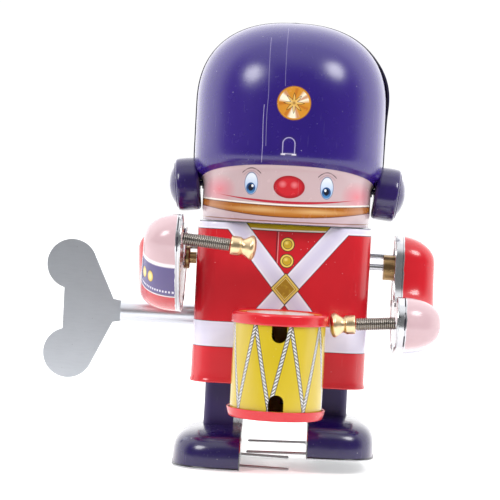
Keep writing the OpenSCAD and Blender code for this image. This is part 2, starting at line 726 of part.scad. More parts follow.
// Outline of a leg seen from above, from an inner side to the outer side and shrunk by a skin
module leg_outline(from, skin) {
    d = leg_d + tin - skin;
    outer = leg_outer_x - skin;
    r = leg_corner - skin;
    translate([from, -d]) square([outer - r - from, 2 * d]);
    translate([from, -d + r]) square([outer - from, 2 * (d - r)]);
    for (s = [-1, 1]) translate([outer - r, s * (d - r)]) circle(r);
}
module leg_plate(side) {
    foot = shoe_skin(0);
    color("silver") leg_rest(side) difference() {
        union() {
            translate([leg_x, -leg_d, sole_t]) cube([tin, 2 * leg_d, leg_top - sole_t]);
            translate([leg_x, -leg_d, leg_shell_z]) cube([flange_w, tin, leg_top - leg_shell_z]);
            translate([leg_x, 0, 0]) rotate([90, 0, 90]) linear_extrude(tin) polygon(concat(
                [for (row = foot) [row[0][1], row[0][2]]],
                [for (row = backwards(foot)) [row[shoe_steps][1], row[shoe_steps][2]]]));
        }
        across(leg_crank_at - [0, pin_drop], 0) cylinder(h = 2 * leg_x, r = pin_r + running);
        for (y = [wire_front, wire_back]) translate([0, y - wire_d / 2 - running, 0])
            cube([2 * leg_x, wire_d + 2 * running, sole_t + wire_d + running]);
    }
}
module leg_shell(side) {
    color("indigo") leg_rest(side) translate([0, 0, leg_shell_z])
        linear_extrude(leg_shell_top - leg_shell_z) difference() {
            leg_outline(leg_x + flange_w, 0);
            leg_outline(leg_x, tin);
        }
}
// Shoe: rows up its height, each a half outline round the outer side from toe to heel
shoe_square = 3.2;
sole_square = 3.8;
shoe_angles = [0, 16, 32, 48, 62, 75];
shoe_steps = 18;
shoe_middle = (heel_y - toe_y) / 2;
shoe_half = (heel_y + toe_y) / 2;
function shoe_skin(skin) = [
    for (e = shoe_angles) let (
        share = bend(cos(e), 2 / shoe_square),
        z = sole_t + (shoe_h - sole_t - skin) * bend(sin(e), 2 / shoe_square),
        wide = (shoe_x - leg_x - tin - skin) * share, long = (shoe_half - skin) * share)
        [for (j = [0:shoe_steps]) let (a = 180 * j / shoe_steps)
            [leg_x + tin + wide * bend(sin(a), 2 / sole_square),
             shoe_middle * share - long * bend(cos(a), 2 / sole_square), z]]];
module shoe_shell(side) {
    color("indigo") leg_rest(side) difference() {
        pressing(shoe_skin(0), shoe_skin(tin), undef,
                 [[leg_x + tin, 0, shoe_h], [leg_x + tin, 0, shoe_h - tin]]);
        translate([0, 0, leg_shell_z - 3]) linear_extrude(shoe_h) leg_outline(leg_x, 0);
    }
}
module sole_outline(edge) {
    wide = shoe_x - leg_x - tin + edge;
    long = shoe_half + edge;
    curve = [for (j = [0:2 * shoe_steps]) let (a = 90 * j / shoe_steps)
        [leg_x + tin + wide * bend(sin(a), 2 / sole_square),
         shoe_middle - long * bend(cos(a), 2 / sole_square)]];
    polygon(concat([[leg_x, shoe_middle - long]], curve, [[leg_x, shoe_middle + long]]));
}
module sole_plate(side) {
    color("silver") leg_rest(side) linear_extrude(sole_t) sole_outline(sole_edge);
}
wire_front = -26;
wire_back = 9;
wire_root_x = 20;
wire_reach_right = 6;
wire_reach_left = 10;
wire_tip_drop = 0.4;
// A wire bent to a U on the sole, whose two prongs slope down to the floor at their tips
module outrigger(side) {
    reach = side > 0 ? wire_reach_left : wire_reach_right;
    slope = atan(wire_tip_drop / (leg_x + reach));
    tip_z = sole_t + wire_d / 2 - wire_tip_drop;
    root_z = tip_z + (wire_root_x + reach) * tan(slope);
    color("silver") leg_rest(side) {
        for (y = [wire_front, wire_back]) {
            translate([wire_root_x, y, root_z]) sphere(wire_d / 2);
            translate([wire_root_x, y, root_z]) rotate([0, -90 - slope, 0])
                cylinder(h = (wire_root_x + reach) / cos(slope), r = wire_d / 2);
        }
        translate([wire_root_x, wire_front, root_z]) rotate([-90, 0, 0])
            cylinder(h = wire_back - wire_front, r = wire_d / 2);
    }
}

place() head_front_shell();
place() head_rear_shell();
place() ear_flange(-1);  // ear_flange_right
place() ear_flange(1);  // ear_flange_left
place() ear_cup(-1);  // ear_cup_right
place() ear_cup(1);  // ear_cup_left
place() ear_cap(-1);  // ear_cap_right
place() ear_cap(1);  // ear_cap_left
place() tunic_front_shell();
place() tunic_rear_shell();
place() tunic_top_plate();
place() tunic_base_plate();
place() drum_shell();
place() drum_head();
place() drum_bottom();
place() drum_bracket();
place() clockwork_plate(-1);  // clockwork_plate_right
place() clockwork_plate(1);  // clockwork_plate_left
place() frame_posts();
place() mainspring();
place() winding_arbor();
place() ratchet_wheel();
place() click();
place() click_spring();
place() main_gear();
place() upper_pinion();
place() upper_wheel();
place() lower_pinion();
place() lower_wheel();
place() arm_crank_shaft();
place() arm_crank_pinion();
place() arm_crank(-1);  // arm_crank_right
place() arm_crank(1);  // arm_crank_left
place() leg_crank_shaft();
place() leg_crank_pinion();
place() leg_crank(-1);  // leg_crank_right
place() leg_crank(1);  // leg_crank_left
place() key_shank();
place() key_wing();
place() shoulder_axle();
place() arm_plate(-1);  // arm_plate_right
place() arm_plate(1);  // arm_plate_left
place() arm_shell(-1);  // arm_shell_right
place() arm_shell(1);  // arm_shell_left
place() shoulder_bush(-1);  // shoulder_bush_right
place() shoulder_bush(1);  // shoulder_bush_left
place() stick_spring(-1);  // stick_spring_right
place() stick_spring(1);  // stick_spring_left
place() stick_tip(-1);  // stick_tip_right
place() stick_tip(1);  // stick_tip_left
place() leg_plate(-1);  // leg_plate_right
place() leg_plate(1);  // leg_plate_left
place() leg_shell(-1);  // leg_shell_right
place() leg_shell(1);  // leg_shell_left
place() shoe_shell(-1);  // shoe_shell_right
place() shoe_shell(1);  // shoe_shell_left
place() sole_plate(-1);  // sole_plate_right
place() sole_plate(1);  // sole_plate_left
place() outrigger(-1);  // outrigger_right
place() outrigger(1);  // outrigger_left
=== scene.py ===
from functools import partialmethod
from math import atan2, cos, exp, hypot, pi, radians, sin
import bmesh
import bpy
import numpy as np
from mathutils import Matrix, Vector


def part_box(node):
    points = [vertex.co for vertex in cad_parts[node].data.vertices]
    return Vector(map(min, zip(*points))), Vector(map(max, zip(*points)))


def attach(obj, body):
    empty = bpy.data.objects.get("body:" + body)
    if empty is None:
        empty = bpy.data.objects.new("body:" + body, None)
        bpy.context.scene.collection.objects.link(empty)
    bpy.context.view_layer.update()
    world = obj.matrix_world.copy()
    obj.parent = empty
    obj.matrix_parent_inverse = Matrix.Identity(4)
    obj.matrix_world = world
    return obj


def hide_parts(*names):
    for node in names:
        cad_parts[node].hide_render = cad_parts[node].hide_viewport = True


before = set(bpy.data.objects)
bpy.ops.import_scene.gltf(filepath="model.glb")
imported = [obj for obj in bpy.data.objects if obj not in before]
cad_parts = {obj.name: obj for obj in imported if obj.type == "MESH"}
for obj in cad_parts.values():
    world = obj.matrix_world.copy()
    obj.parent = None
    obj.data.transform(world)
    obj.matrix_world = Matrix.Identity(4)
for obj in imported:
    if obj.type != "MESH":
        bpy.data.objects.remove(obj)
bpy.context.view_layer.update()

# ---------- Places ----------
# Shapes are drawn in figure millimetres: X to the figure's left, -Y its front, Z up from the floor.
MM = 0.001
DRUM_LOW, DRUM_HIGH = (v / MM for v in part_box("drum_shell"))
FRONT_HALF_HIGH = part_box("head_front_shell")[1] / MM
OFFSET = np.array([(DRUM_LOW.x + DRUM_HIGH.x) / 2, FRONT_HALF_HIGH.y, 0.0])


def figure_box(node):
    """Lowest and highest corner of a CAD node, in figure millimetres."""
    low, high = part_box(node)
    return np.array(low) / MM - OFFSET, np.array(high) / MM - OFFSET


TOTAL_H = figure_box("head_front_shell")[1][2]
HEAD_Z = figure_box("head_front_shell")[0][2]
HAT_W = figure_box("head_front_shell")[1][0]
FACE_W = 31.6
HEAD_DEPTH = 0.9
HEAD_SQUARE = 2.4
BRIM_Z = 112.0
BRIM_DROP = 6.5
DOME_Z = 133.0
TIN = 0.4
TUNIC_W, TUNIC_D = figure_box("tunic_front_shell")[1][0], -figure_box("tunic_front_shell")[0][1]
TUNIC_R = 8.0
HEM_Z = figure_box("tunic_front_shell")[0][2]
DRUM_Y = 40.0
DRUM_R = 16.6
RIM_R = 17.6
SHOULDER_Z = 75.0
ARM_X = {-1: 37.0, 1: 42.0}
ARM_TURN = {-1: 37.0, 1: 0.0}
ARM_R = 9.4
ARM_BULGE = {-1: (18.0, 13.5), 1: (15.0, 16.0)}
STICK_SLOPE = 4.7
BARE_FOLD = {-1: 1.7, 1: 3.2}
STICK_REACH = {-1: 27.0, 1: 24.0}
TIP_L = 9.3
STICK_R = 2.3
STICK_AT = (38.0, -18.5)
LEG_X = 12.0
LEG_OUTER_X = 26.8
SHOE_X = 37.0
SHOE_H = 14.0
TOE_Y, HEEL_Y = 36.0, 14.0
SHOE_SQUARE, SOLE_SQUARE = 4.2, 3.8
SIDES = {-1: "right", 1: "left"}
# Each foot stands where its crank holds it
LEG_SHIFT = {
    side: (figure_box(f"sole_plate_{word}")[0][1] + TOE_Y + 0.5, figure_box(f"sole_plate_{word}")[0][2])
    for side, word in SIDES.items()
}


def srgb(r, g, b):
    """An ink's colour from its three display values, each up to 255."""
    return tuple((v / 255 / 12.92) if v <= 10 else ((v / 255 + 0.055) / 1.055) ** 2.4 for v in (r, g, b))


def bend(value, power):
    return np.sign(value) * np.abs(value) ** power


def add_object(name, data):
    thing = bpy.data.objects.new(name, data)
    bpy.context.scene.collection.objects.link(thing)
    return thing


# ---------- Fields: numbers that vary over a surface ----------
class Field:
    """A shader value; arithmetic on it adds Math nodes."""

    def __init__(self, tree, socket):
        self.tree = tree
        self.socket = socket

    def op(self, name, *others, clamp=False):
        node = self.tree.nodes.new("ShaderNodeMath")
        node.operation = name
        node.use_clamp = clamp
        for place, value in zip(node.inputs, (self,) + others):
            feed(self.tree, place, value)
        return Field(self.tree, node.outputs[0])

    __add__ = partialmethod(op, "ADD")
    __sub__ = partialmethod(op, "SUBTRACT")
    __mul__ = partialmethod(op, "MULTIPLY")
    boost = partialmethod(op, "MULTIPLY", clamp=True)
    __neg__ = partialmethod(op, "MULTIPLY", -1)
    __abs__ = partialmethod(op, "ABSOLUTE")
    least = partialmethod(op, "MINIMUM")
    most = partialmethod(op, "MAXIMUM")

    def inside(self, soft=0.14):
        """1 where this signed distance is negative, with an edge as wide as soft."""
        return self.op("MULTIPLY_ADD", -1 / soft, 0.5, clamp=True)

    def away(self):
        """The mask's opposite."""
        return self.op("MULTIPLY_ADD", -1, 1, clamp=True)


def feed(tree, place, value):
    """Links a field or a socket to an input, or sets a plain value there."""
    value = value.socket if isinstance(value, Field) else value
    if isinstance(value, bpy.types.NodeSocket):
        tree.links.new(value, place)
    else:
        place.default_value = value


class Skin:
    """A material whose colour is built up from inks laid over each other through masks."""

    def __init__(self, name, base):
        self.material = bpy.data.materials.new(name)
        self.material.use_nodes = True
        self.tree = self.material.node_tree
        self.shader = self.tree.nodes["Principled BSDF"]
        self.colour = (*base, 1)
        origin = self.node("TexCoord").outputs["Object"]
        self.place = self.vector("MULTIPLY_ADD", origin, (1 / MM,) * 3, tuple(-OFFSET))
        self.x, self.y, self.z = self.split(self.place)
        # the flat sheet that the print's shapes are drawn on
        self.sheet = self.flat(self.x, self.z)

    def node(self, kind, **inputs):
        node = self.tree.nodes.new("ShaderNode" + kind)
        for name, value in inputs.items():
            feed(self.tree, node.inputs[name], value)
        return node

    def vector(self, name, *inputs, output=0):
        node = self.node("VectorMath")
        node.operation = name
        for place, value in zip(node.inputs, inputs):
            feed(self.tree, place, value)
        return node.outputs[output]

    def split(self, vector):
        return [Field(self.tree, s) for s in self.node("SeparateXYZ", Vector=vector).outputs]

    def printed(self):
        """The two numbers that a mesh carries for its print."""
        node = self.node("Attribute")
        node.attribute_name = "print"
        return self.split(node.outputs["Vector"])[:2]

    def flat(self, x, z):
        """A vector from two fields."""
        return self.node("CombineXYZ", X=x, Y=z).outputs[0]

    def length(self, flat):
        return Field(self.tree, self.vector("LENGTH", flat, output=1))

    def ellipse(self, centre, radii):
        """Signed distance, roughly, from an ellipse on a flat place."""
        moved = self.vector("SUBTRACT", self.sheet, (*centre, 0))
        scaled = self.vector("MULTIPLY", moved, (1 / radii[0], 1 / radii[1], 0))
        return (self.length(scaled) - 1) * min(radii)

    def band(self, direction, offset, half):
        """Signed distance from a straight band whose normal points along direction, in degrees."""
        a = radians(direction)
        dot = Field(self.tree, self.vector("DOT_PRODUCT", self.sheet, (cos(a), sin(a), 0), output=1))
        return abs(dot - offset) - half

    def noise(self, scale, stretch=(1, 1, 1), detail=3):
        stretched = self.vector("MULTIPLY", self.place, stretch)
        node = self.node("TexNoise", Scale=scale, Detail=detail, Vector=stretched)
        return Field(self.tree, node.outputs["Fac"])

    def patches(self, scale, above, gain, stretch=(1, 1, 1), detail=2):
        """Soft patches, from 0 to 1, where a noise rises past a level."""
        return ((self.noise(scale, stretch, detail) - above) * gain).op("MAXIMUM", 0.0, clamp=True)

    def cells(self, scale):
        """Distance to the nearest of many scattered points."""
        node = self.node("TexVoronoi", Scale=scale, Vector=self.place)
        return Field(self.tree, node.outputs["Distance"])

    def ink(self, colour, mask):
        """Lays a colour over what is there. A mask is a field from 0 to 1."""
        node = self.node("Mix")
        node.data_type = "RGBA"
        for place, value in (("Factor", mask), (6, self.colour), (7, (*colour, 1))):
            feed(self.tree, node.inputs[place], value)
        self.colour = node.outputs[2]

    def dye(self, r, g, b, mask):
        """Lays on a colour given by its display values."""
        self.ink(srgb(r, g, b), mask)

    def fill(self, r, g, b, shape):
        """Fills a shape, given as its signed distance."""
        self.dye(r, g, b, shape.inside())

    def finish(self, rough, rough_by=0.08, coat=0.0, coat_rough=0.14, metal=0.0, *, bump, bump_mm, wear):
        """Sets the surface. A metal of None is one that is already linked."""
        uneven = self.noise(0.35, detail=4) * (2 * rough_by) + (rough - rough_by) + wear * 0.25
        values = {"Base Color": self.colour, "Roughness": uneven, "Coat Weight": coat,
                  "Coat Roughness": coat_rough, "IOR": 1.5,
                  "Normal": self.node("Bump", Distance=bump_mm * MM, Height=bump).outputs[0]}
        if metal is not None:
            values["Metallic"] = metal
        for name, value in values.items():
            feed(self.tree, self.shader.inputs[name], value)
        return self.material


# ---------- Forms: surfaces in figure millimetres ----------
# Points closer than this become one
MERGE = 0.002 * MM


class Form:
    """Collects grids and turns them into one piece."""

    def __init__(self):
        self.points, self.faces, self.looks, self.prints = [], [], [], []

    def grid(self, points, closed=(False, False), look=0, prints=None):
        """Adds a grid of points (rows, columns, 3), closed along rows or columns if asked."""
        points = np.asarray(points, float)
        rows, columns = points.shape[:2]
        start = len(self.points)
        self.points.extend(points.reshape(-1, 3).tolist())
        values = np.zeros((rows, columns, 2)) if prints is None else np.asarray(prints, float)
        self.prints.extend(values.reshape(-1, 2).tolist())
        for i in range(rows if closed[0] else rows - 1):
            for j in range(columns if closed[1] else columns - 1):
                i2, j2 = (i + 1) % rows, (j + 1) % columns
                self.faces.append([start + a * columns + b for a, b in ((i, j), (i, j2), (i2, j2), (i2, j))])
                self.looks.append(look)
        return self

    def cap(self, ring):
        """Closes a ring of points with one face."""
        start = len(self.points)
        self.points.extend([list(p) for p in ring])
        self.prints.extend([[0.0, 0.0]] * len(ring))
        self.faces.append(list(range(start, start + len(ring))))
        self.looks.append(0)
        return self

    def skin(self, outer, inner, prints=None, inner_look=0):
        """Adds a pressed skin: an outer and an inner grid, joined round their edges."""
        outer, inner = np.asarray(outer, float), np.asarray(inner, float)
        self.grid(outer, prints=prints)
        self.grid(inner, look=inner_look, prints=prints)
        values = np.zeros((*outer.shape[:2], 2)) if prints is None else np.asarray(prints, float)
        for edge in (0, -1):
            for a, b, v in ((outer[edge], inner[edge], values[edge]),
                            (outer[:, edge], inner[:, edge], values[:, edge])):
                self.grid(np.stack([a, b]), prints=np.stack([v, v]))
        return self

    def tube(self, path, radius, sides=12, look=0, closed=False):
        """Adds a round wire along a path, with rounded ends."""
        path = np.asarray(path, float)
        radii = np.full(len(path), float(radius)) if np.isscalar(radius) else np.asarray(radius, float)
        if not closed:
            turns = np.radians([90, 65, 40, 18])
            first, last = path[0] - path[1], path[-1] - path[-2]
            first, last = first / np.linalg.norm(first), last / np.linalg.norm(last)
            head = [path[0] + first * radii[0] * (sin(t) - 1) for t in turns]
            tail = [path[-1] + last * radii[-1] * (sin(t) - 1) for t in turns[::-1]]
            body = [path[0] - first * radii[0], *path[1:-1], path[-1] - last * radii[-1]]
            radii = np.array([radii[0] * cos(t) for t in turns] + [radii[0], *radii[1:-1], radii[-1]]
                             + [radii[-1] * cos(t) for t in turns[::-1]])
            path = np.array(head + body + tail)
        along = np.roll(path, -1, 0) - np.roll(path, 1, 0)
        if not closed:
            along[0], along[-1] = path[1] - path[0], path[-1] - path[-2]
        along /= np.linalg.norm(along, axis=1)[:, None]
        side = np.cross(along[0], (0, 0, 1) if abs(along[0][2]) < 0.9 else (0, 1, 0))
        rings = []
        turn = np.linspace(0, 2 * pi, sides, endpoint=False)
        for point, t, r in zip(path, along, radii):
            side = side - t * side.dot(t)
            side /= np.linalg.norm(side)
            up = np.cross(t, side)
            rings.append(point + r * (np.cos(turn)[:, None] * side + np.sin(turn)[:, None] * up))
        return self.grid(rings, closed=(closed, True), look=look)

    def revolve(self, profile, origin, axis, steps=96):
        """Adds a turned shape: profile points are (radius, distance along the axis)."""
        axis = np.asarray(axis, float) / np.linalg.norm(axis)
        side = np.cross(axis, (0, 0, 1) if abs(axis[2]) < 0.9 else (0, 1, 0))
        side /= np.linalg.norm(side)
        up = np.cross(axis, side)
        turn = np.linspace(0, 2 * pi, steps, endpoint=False)
        ring = np.cos(turn)[:, None] * side + np.sin(turn)[:, None] * up
        rows = [np.asarray(origin) + r * ring + h * axis for r, h in profile]
        return self.grid(rows, closed=(False, True))

    def box(self, centre, size, bevel, turn=None):
        """Adds a box with chamfered edges, turned by a 3x3 matrix."""
        sx, sy, sz = (s / 2 for s in size)
        rows = []
        for z, shrink in ((-sz, bevel), (bevel - sz, 0), (sz - bevel, 0), (sz, bevel)):
            x, y = sx - shrink, sy - shrink
            c = min(bevel, x, y)
            ring = [(x, -y + c), (x, y - c), (x - c, y), (-x + c, y), (-x, y - c), (-x, -y + c),
                    (-x + c, -y), (x - c, -y)]
            rows.append([(p[0], p[1], z) for p in ring])
        rows = np.array(rows)
        if turn is not None:
            rows = rows @ np.asarray(turn).T
        rows = rows + np.asarray(centre)
        self.grid(rows, closed=(False, True))
        return self.cap(rows[0]).cap(rows[-1][::-1])

    def make(self, name, body, materials, replaces=(), slot=None, smooth=40):
        mesh = bpy.data.meshes.new(name)
        mesh.from_pydata(((np.array(self.points) + OFFSET) * MM).tolist(), [], self.faces)
        mesh.polygons.foreach_set("material_index", self.looks)
        values = mesh.attributes.new("print", "FLOAT_VECTOR", "POINT")
        values.data.foreach_set("vector", np.c_[np.array(self.prints), np.zeros(len(self.prints))].ravel())
        work = bmesh.new()
        work.from_mesh(mesh)
        bmesh.ops.remove_doubles(work, verts=work.verts, dist=MERGE)
        bmesh.ops.dissolve_degenerate(work, edges=work.edges, dist=MERGE)
        bmesh.ops.recalc_face_normals(work, faces=work.faces)
        work.to_mesh(mesh)
        work.free()
        for material in materials:
            mesh.materials.append(material)
        mesh.polygons.foreach_set("use_smooth", [True] * len(mesh.polygons))
        mesh.set_sharp_from_angle(angle=radians(smooth))
        piece = add_object(name, mesh)
        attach(piece, body)
        if replaces:
            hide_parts(*replaces)
        return piece


def soften(rows, times=2):
    """Rounds a profile's corners by cutting them, keeping its ends."""
    rows = np.asarray(rows, float)
    for _ in range(times):
        near, far = rows[:-1] * 0.75 + rows[1:] * 0.25, rows[:-1] * 0.25 + rows[1:] * 0.75
        middle = np.stack([near, far], 1).reshape(-1, rows.shape[1])
        rows = np.concatenate([rows[:1], middle[1:-1], rows[-1:]])
    return rows


# ---------- Inks ----------
HAT_INK = srgb(34, 4, 112)
# a lighter hat ink, used for the painted reflection towards the hat's sides and for random lighter patches
HAT_SHEEN_AND_TONE = srgb(50, 22, 124)
SKIN_INK = srgb(204, 178, 181)
RED = srgb(204, 24, 38)
DEEP_RED = srgb(172, 22, 34)
WHITE_INK = srgb(228, 224, 242)
LINE_INK = srgb(42, 32, 40)
YELLOW = srgb(196, 170, 22)
STRAP_GOLD = srgb(176, 102, 26)
BROWN = srgb(120, 70, 40)


def worn(skin, scratch=0.35, speck=0.6):
    """Marks that handling leaves on lacquer: fine upright scratches and pale specks."""
    fine = skin.noise(1.0, (5.0, 5.0, 0.06), detail=2)
    lines = ((fine - 0.735) * -1).inside(0.03) * scratch
    dots = (skin.cells(0.42) - 0.055).inside(0.05)
    some = ((skin.noise(0.11, detail=1) - 0.58) * -1).inside(0.08)
    specks = dots * some * speck
    skin.dye(232, 226, 240, lines * 0.5)
    skin.dye(240, 236, 246, specks)
    return lines.most(specks)


def glossy(skin, rough, rough_by, scratch, speck, bump_mm, metal=0.0):
    """Wear and a clear coat over printed inks."""
    wear = worn(skin, scratch, speck)
    return skin.finish(rough, rough_by, coat=0.35, metal=metal, wear=wear,
                       bump=skin.noise(0.4, detail=4), bump_mm=bump_mm)


def lacquer(name, base, light, rough=0.2, coat=0.35):
    """Plain gloss lacquer with slightly uneven depth."""
    skin = Skin(name, base)
    skin.ink(light, (skin.noise(0.06, detail=2) - 0.35) * 0.8)
    return skin.finish(rough, coat=coat, wear=worn(skin), bump=skin.noise(0.5, detail=4), bump_mm=0.03)


def head_front_skin():
    skin = Skin("head_print", SKIN_INK)
    ink, dye, fill = skin.ink, skin.dye, skin.fill
    row, _ = skin.printed()
    x, z = skin.x, skin.z
    dye(206, 176, 186, skin.patches(0.05, 0.45, 1.2) * 0.6)
    # cheeks
    for centre in ((-24.8, 101.4), (25.9, 101.0)):
        dye(224, 92, 112, skin.ellipse(centre, (3.2, 3.0)).inside(6.0) * 0.8)
    # smile, thin towards its ends
    lift = x * x * 0.0031
    smile = abs(z - 97.8 - lift) - (x * x * -0.00075 + 0.48)
    fill(186, 40, 58, smile)
    # chin strap, wider in the middle
    sag = x * x * (1 / 900)
    top = sag * 1.1 + 96.3
    low = sag * 2.7 + 92.5
    strap = (z - top).most(low - z)
    dye(248, 240, 232, (strap - 0.85).inside() * (z - top + 0.3).inside().away())
    ink(BROWN, (strap - 0.28).inside())
    ink(STRAP_GOLD, (strap + 0.12).inside())
    # painted highlights on the strap: a lighter streak along it and two soft spots
    dye(208, 146, 74, ((strap + 1.0).inside(1.2)) * ((z - top + 1.3).inside(1.0)) * 0.7)
    for centre in (-9.5, 11.0):
        glow = skin.ellipse((centre, 94.9), (6.5, 0.7)).inside(1.3)
        dye(232, 190, 130, glow * 0.7)
    # chin, with painted shade turning it lavender towards its lower edge
    dye(196, 168, 188, (z - 91.9).inside(2.4) * (z - low + 0.6).inside() * 0.55)
    dye(150, 104, 84, (abs(z - 90.75 - sag * 0.3) - 0.22).inside())
    # nose
    nose = skin.ellipse((0.7, 103.5), (5.75, 4.15))
    fill(164, 20, 34, nose)
    dye(206, 34, 46, (nose + 0.75).inside(1.0))
    # two painted highlights on the nose
    for centre in ((-1.7, 104.4), (2.6, 104.3)):
        dye(236, 130, 136, skin.ellipse(centre, (1.0, 0.9)).inside(1.2) * 0.8)
    # eyes
    for side, at in ((-1, (-13.2, 104.2)), (1, (14.5, 103.8))):
        eye = skin.ellipse(at, (2.35, 4.0))
        fill(120, 132, 160, eye - 0.12)
        fill(236, 242, 252, eye + 0.12)
        dye(158, 190, 232, (eye + 0.12).inside() * (z - at[1] - 0.2).inside(5.0))
        iris = skin.ellipse((at[0] - 0.1, at[1] - 1.7), (1.65, 2.0))
        fill(34, 74, 128, iris)
        dye(74, 138, 196, iris.inside() * (z - at[1] + 2.6).inside(1.6))
        pupil = skin.ellipse((at[0] - 0.1, at[1] - 1.5), (0.95, 1.25))
        fill(12, 18, 40, pupil)
        spark = skin.ellipse((at[0] - 0.5 * side, at[1] - 0.9), (0.42, 0.5))
        fill(250, 252, 255, spark)
        # a brow over each eye, and the lid's fold under it
        across = x - at[0]
        arch = z - at[1] - 5.6 + across * across * 0.16
        dye(74, 58, 62, (abs(arch) - 0.2).most(abs(across) - 3.4).inside(0.2))
        fold = z - at[1] - 4.6 + across * across * 0.2
        dye(150, 120, 124, (abs(fold) - 0.1).most(abs(across) - 2.9).inside(0.25) * 0.8)
    # painted shade: a fine darker line under the brim
    dye(204, 172, 176, (abs(row - 109.6) - 0.3).inside(0.5) * 0.5)
    # hat above the brim
    hat = (-(row - 111.3)).inside(0.16)
    depth = abs(x - 0.5)
    ink(HAT_INK, hat)
    # painted reflection: the hat grows lighter towards its sides; then lighter patches at random
    ink(HAT_SHEEN_AND_TONE, hat * ((depth - 18) * -1).inside(18) * 0.75)
    ink(HAT_SHEEN_AND_TONE, hat * skin.patches(0.07, 0.45, 2.2, (1, 1, 0.4), 3) * 0.5)
    # two long scratches
    wander = (skin.noise(0.05, (0, 0, 1), detail=1) - 0.5) * 2.0
    for start, low_end, high_end, strength in ((-9.8, 112.0, 133.0, 0.8), (-8.6, 118.0, 158.0, 0.45),
                                               (-2.6, 140.0, 162.0, 0.35)):
        line = abs(x - start - wander) - 0.07
        ends = (z - high_end).most((z - low_end) * -1)
        dye(214, 204, 238, line.most(ends).inside(0.16) * strength)
    # embossed tab: a painted highlight along its rim and at its feet, and painted shade in a ring round it
    tab = tab_distance(skin, x, z)
    dye(196, 188, 222, (abs(tab + 0.1) - 0.16).inside(0.2) * 0.8)
    dye(34, 16, 78, (abs(tab - 0.5) - 0.2).inside(0.3) * 0.5)
    foot = (abs(z - TAB_AT[1] + 3.1) - 0.28).most(abs(abs(x - TAB_AT[0]) - 2.0) - 0.8)
    dye(230, 224, 240, foot.inside(0.25) * 0.9)
    # badge: a gilt disc of turned rays round an eight-pointed star
    bx, bz = x - 0.9, z - 134.0
    radius = skin.length(skin.flat(bx, bz))
    angle = bz.op("ARCTAN2", bx)
    rays = (angle * 3).op("SINE")
    fine_rays = (angle * 7 + 1.1).op("SINE")
    disc = radius - 6.0
    dye(150, 92, 30, (disc - 0.25).inside(0.25))
    fill(212, 142, 40, disc)
    dye(250, 240, 214, (disc + 0.5).inside() * (rays - 0.15).boost(1.6))
    dye(190, 104, 26, (disc + 0.5).inside() * (fine_rays * -1 - 0.35).boost(1.2))
    point = abs((angle * (4 / pi)).op("FRACT") - 0.5) * 2
    star = radius - (point.op("POWER", 1.5) * 2.4 + 1.35)
    dye(44, 28, 18, (abs(star) - 0.2).inside(0.22) * (disc + 1.0).inside())
    dye(228, 184, 96, (star + 0.35).inside(0.3) * 0.9)
    dye(150, 96, 40, (radius - 0.5).inside(0.5) * 0.8)
    wear = worn(skin) * hat
    return skin.finish(0.26, 0.05, coat=0.5, coat_rough=0.24, wear=wear,
                       bump=skin.noise(0.12, detail=1), bump_mm=0.05)


TAB_AT = (-0.2, 118.4)
TAB_HALF = 2.3


def tab_distance(skin, x, z):
    """Signed distance from the small pressed arch on the hat's front."""
    top = skin.ellipse((TAB_AT[0], TAB_AT[1] + 0.8), (TAB_HALF, TAB_HALF))
    leg = (abs(x - TAB_AT[0]) - TAB_HALF).most(abs(z - TAB_AT[1] + 1.0) - 2.0)
    return top.least(leg)


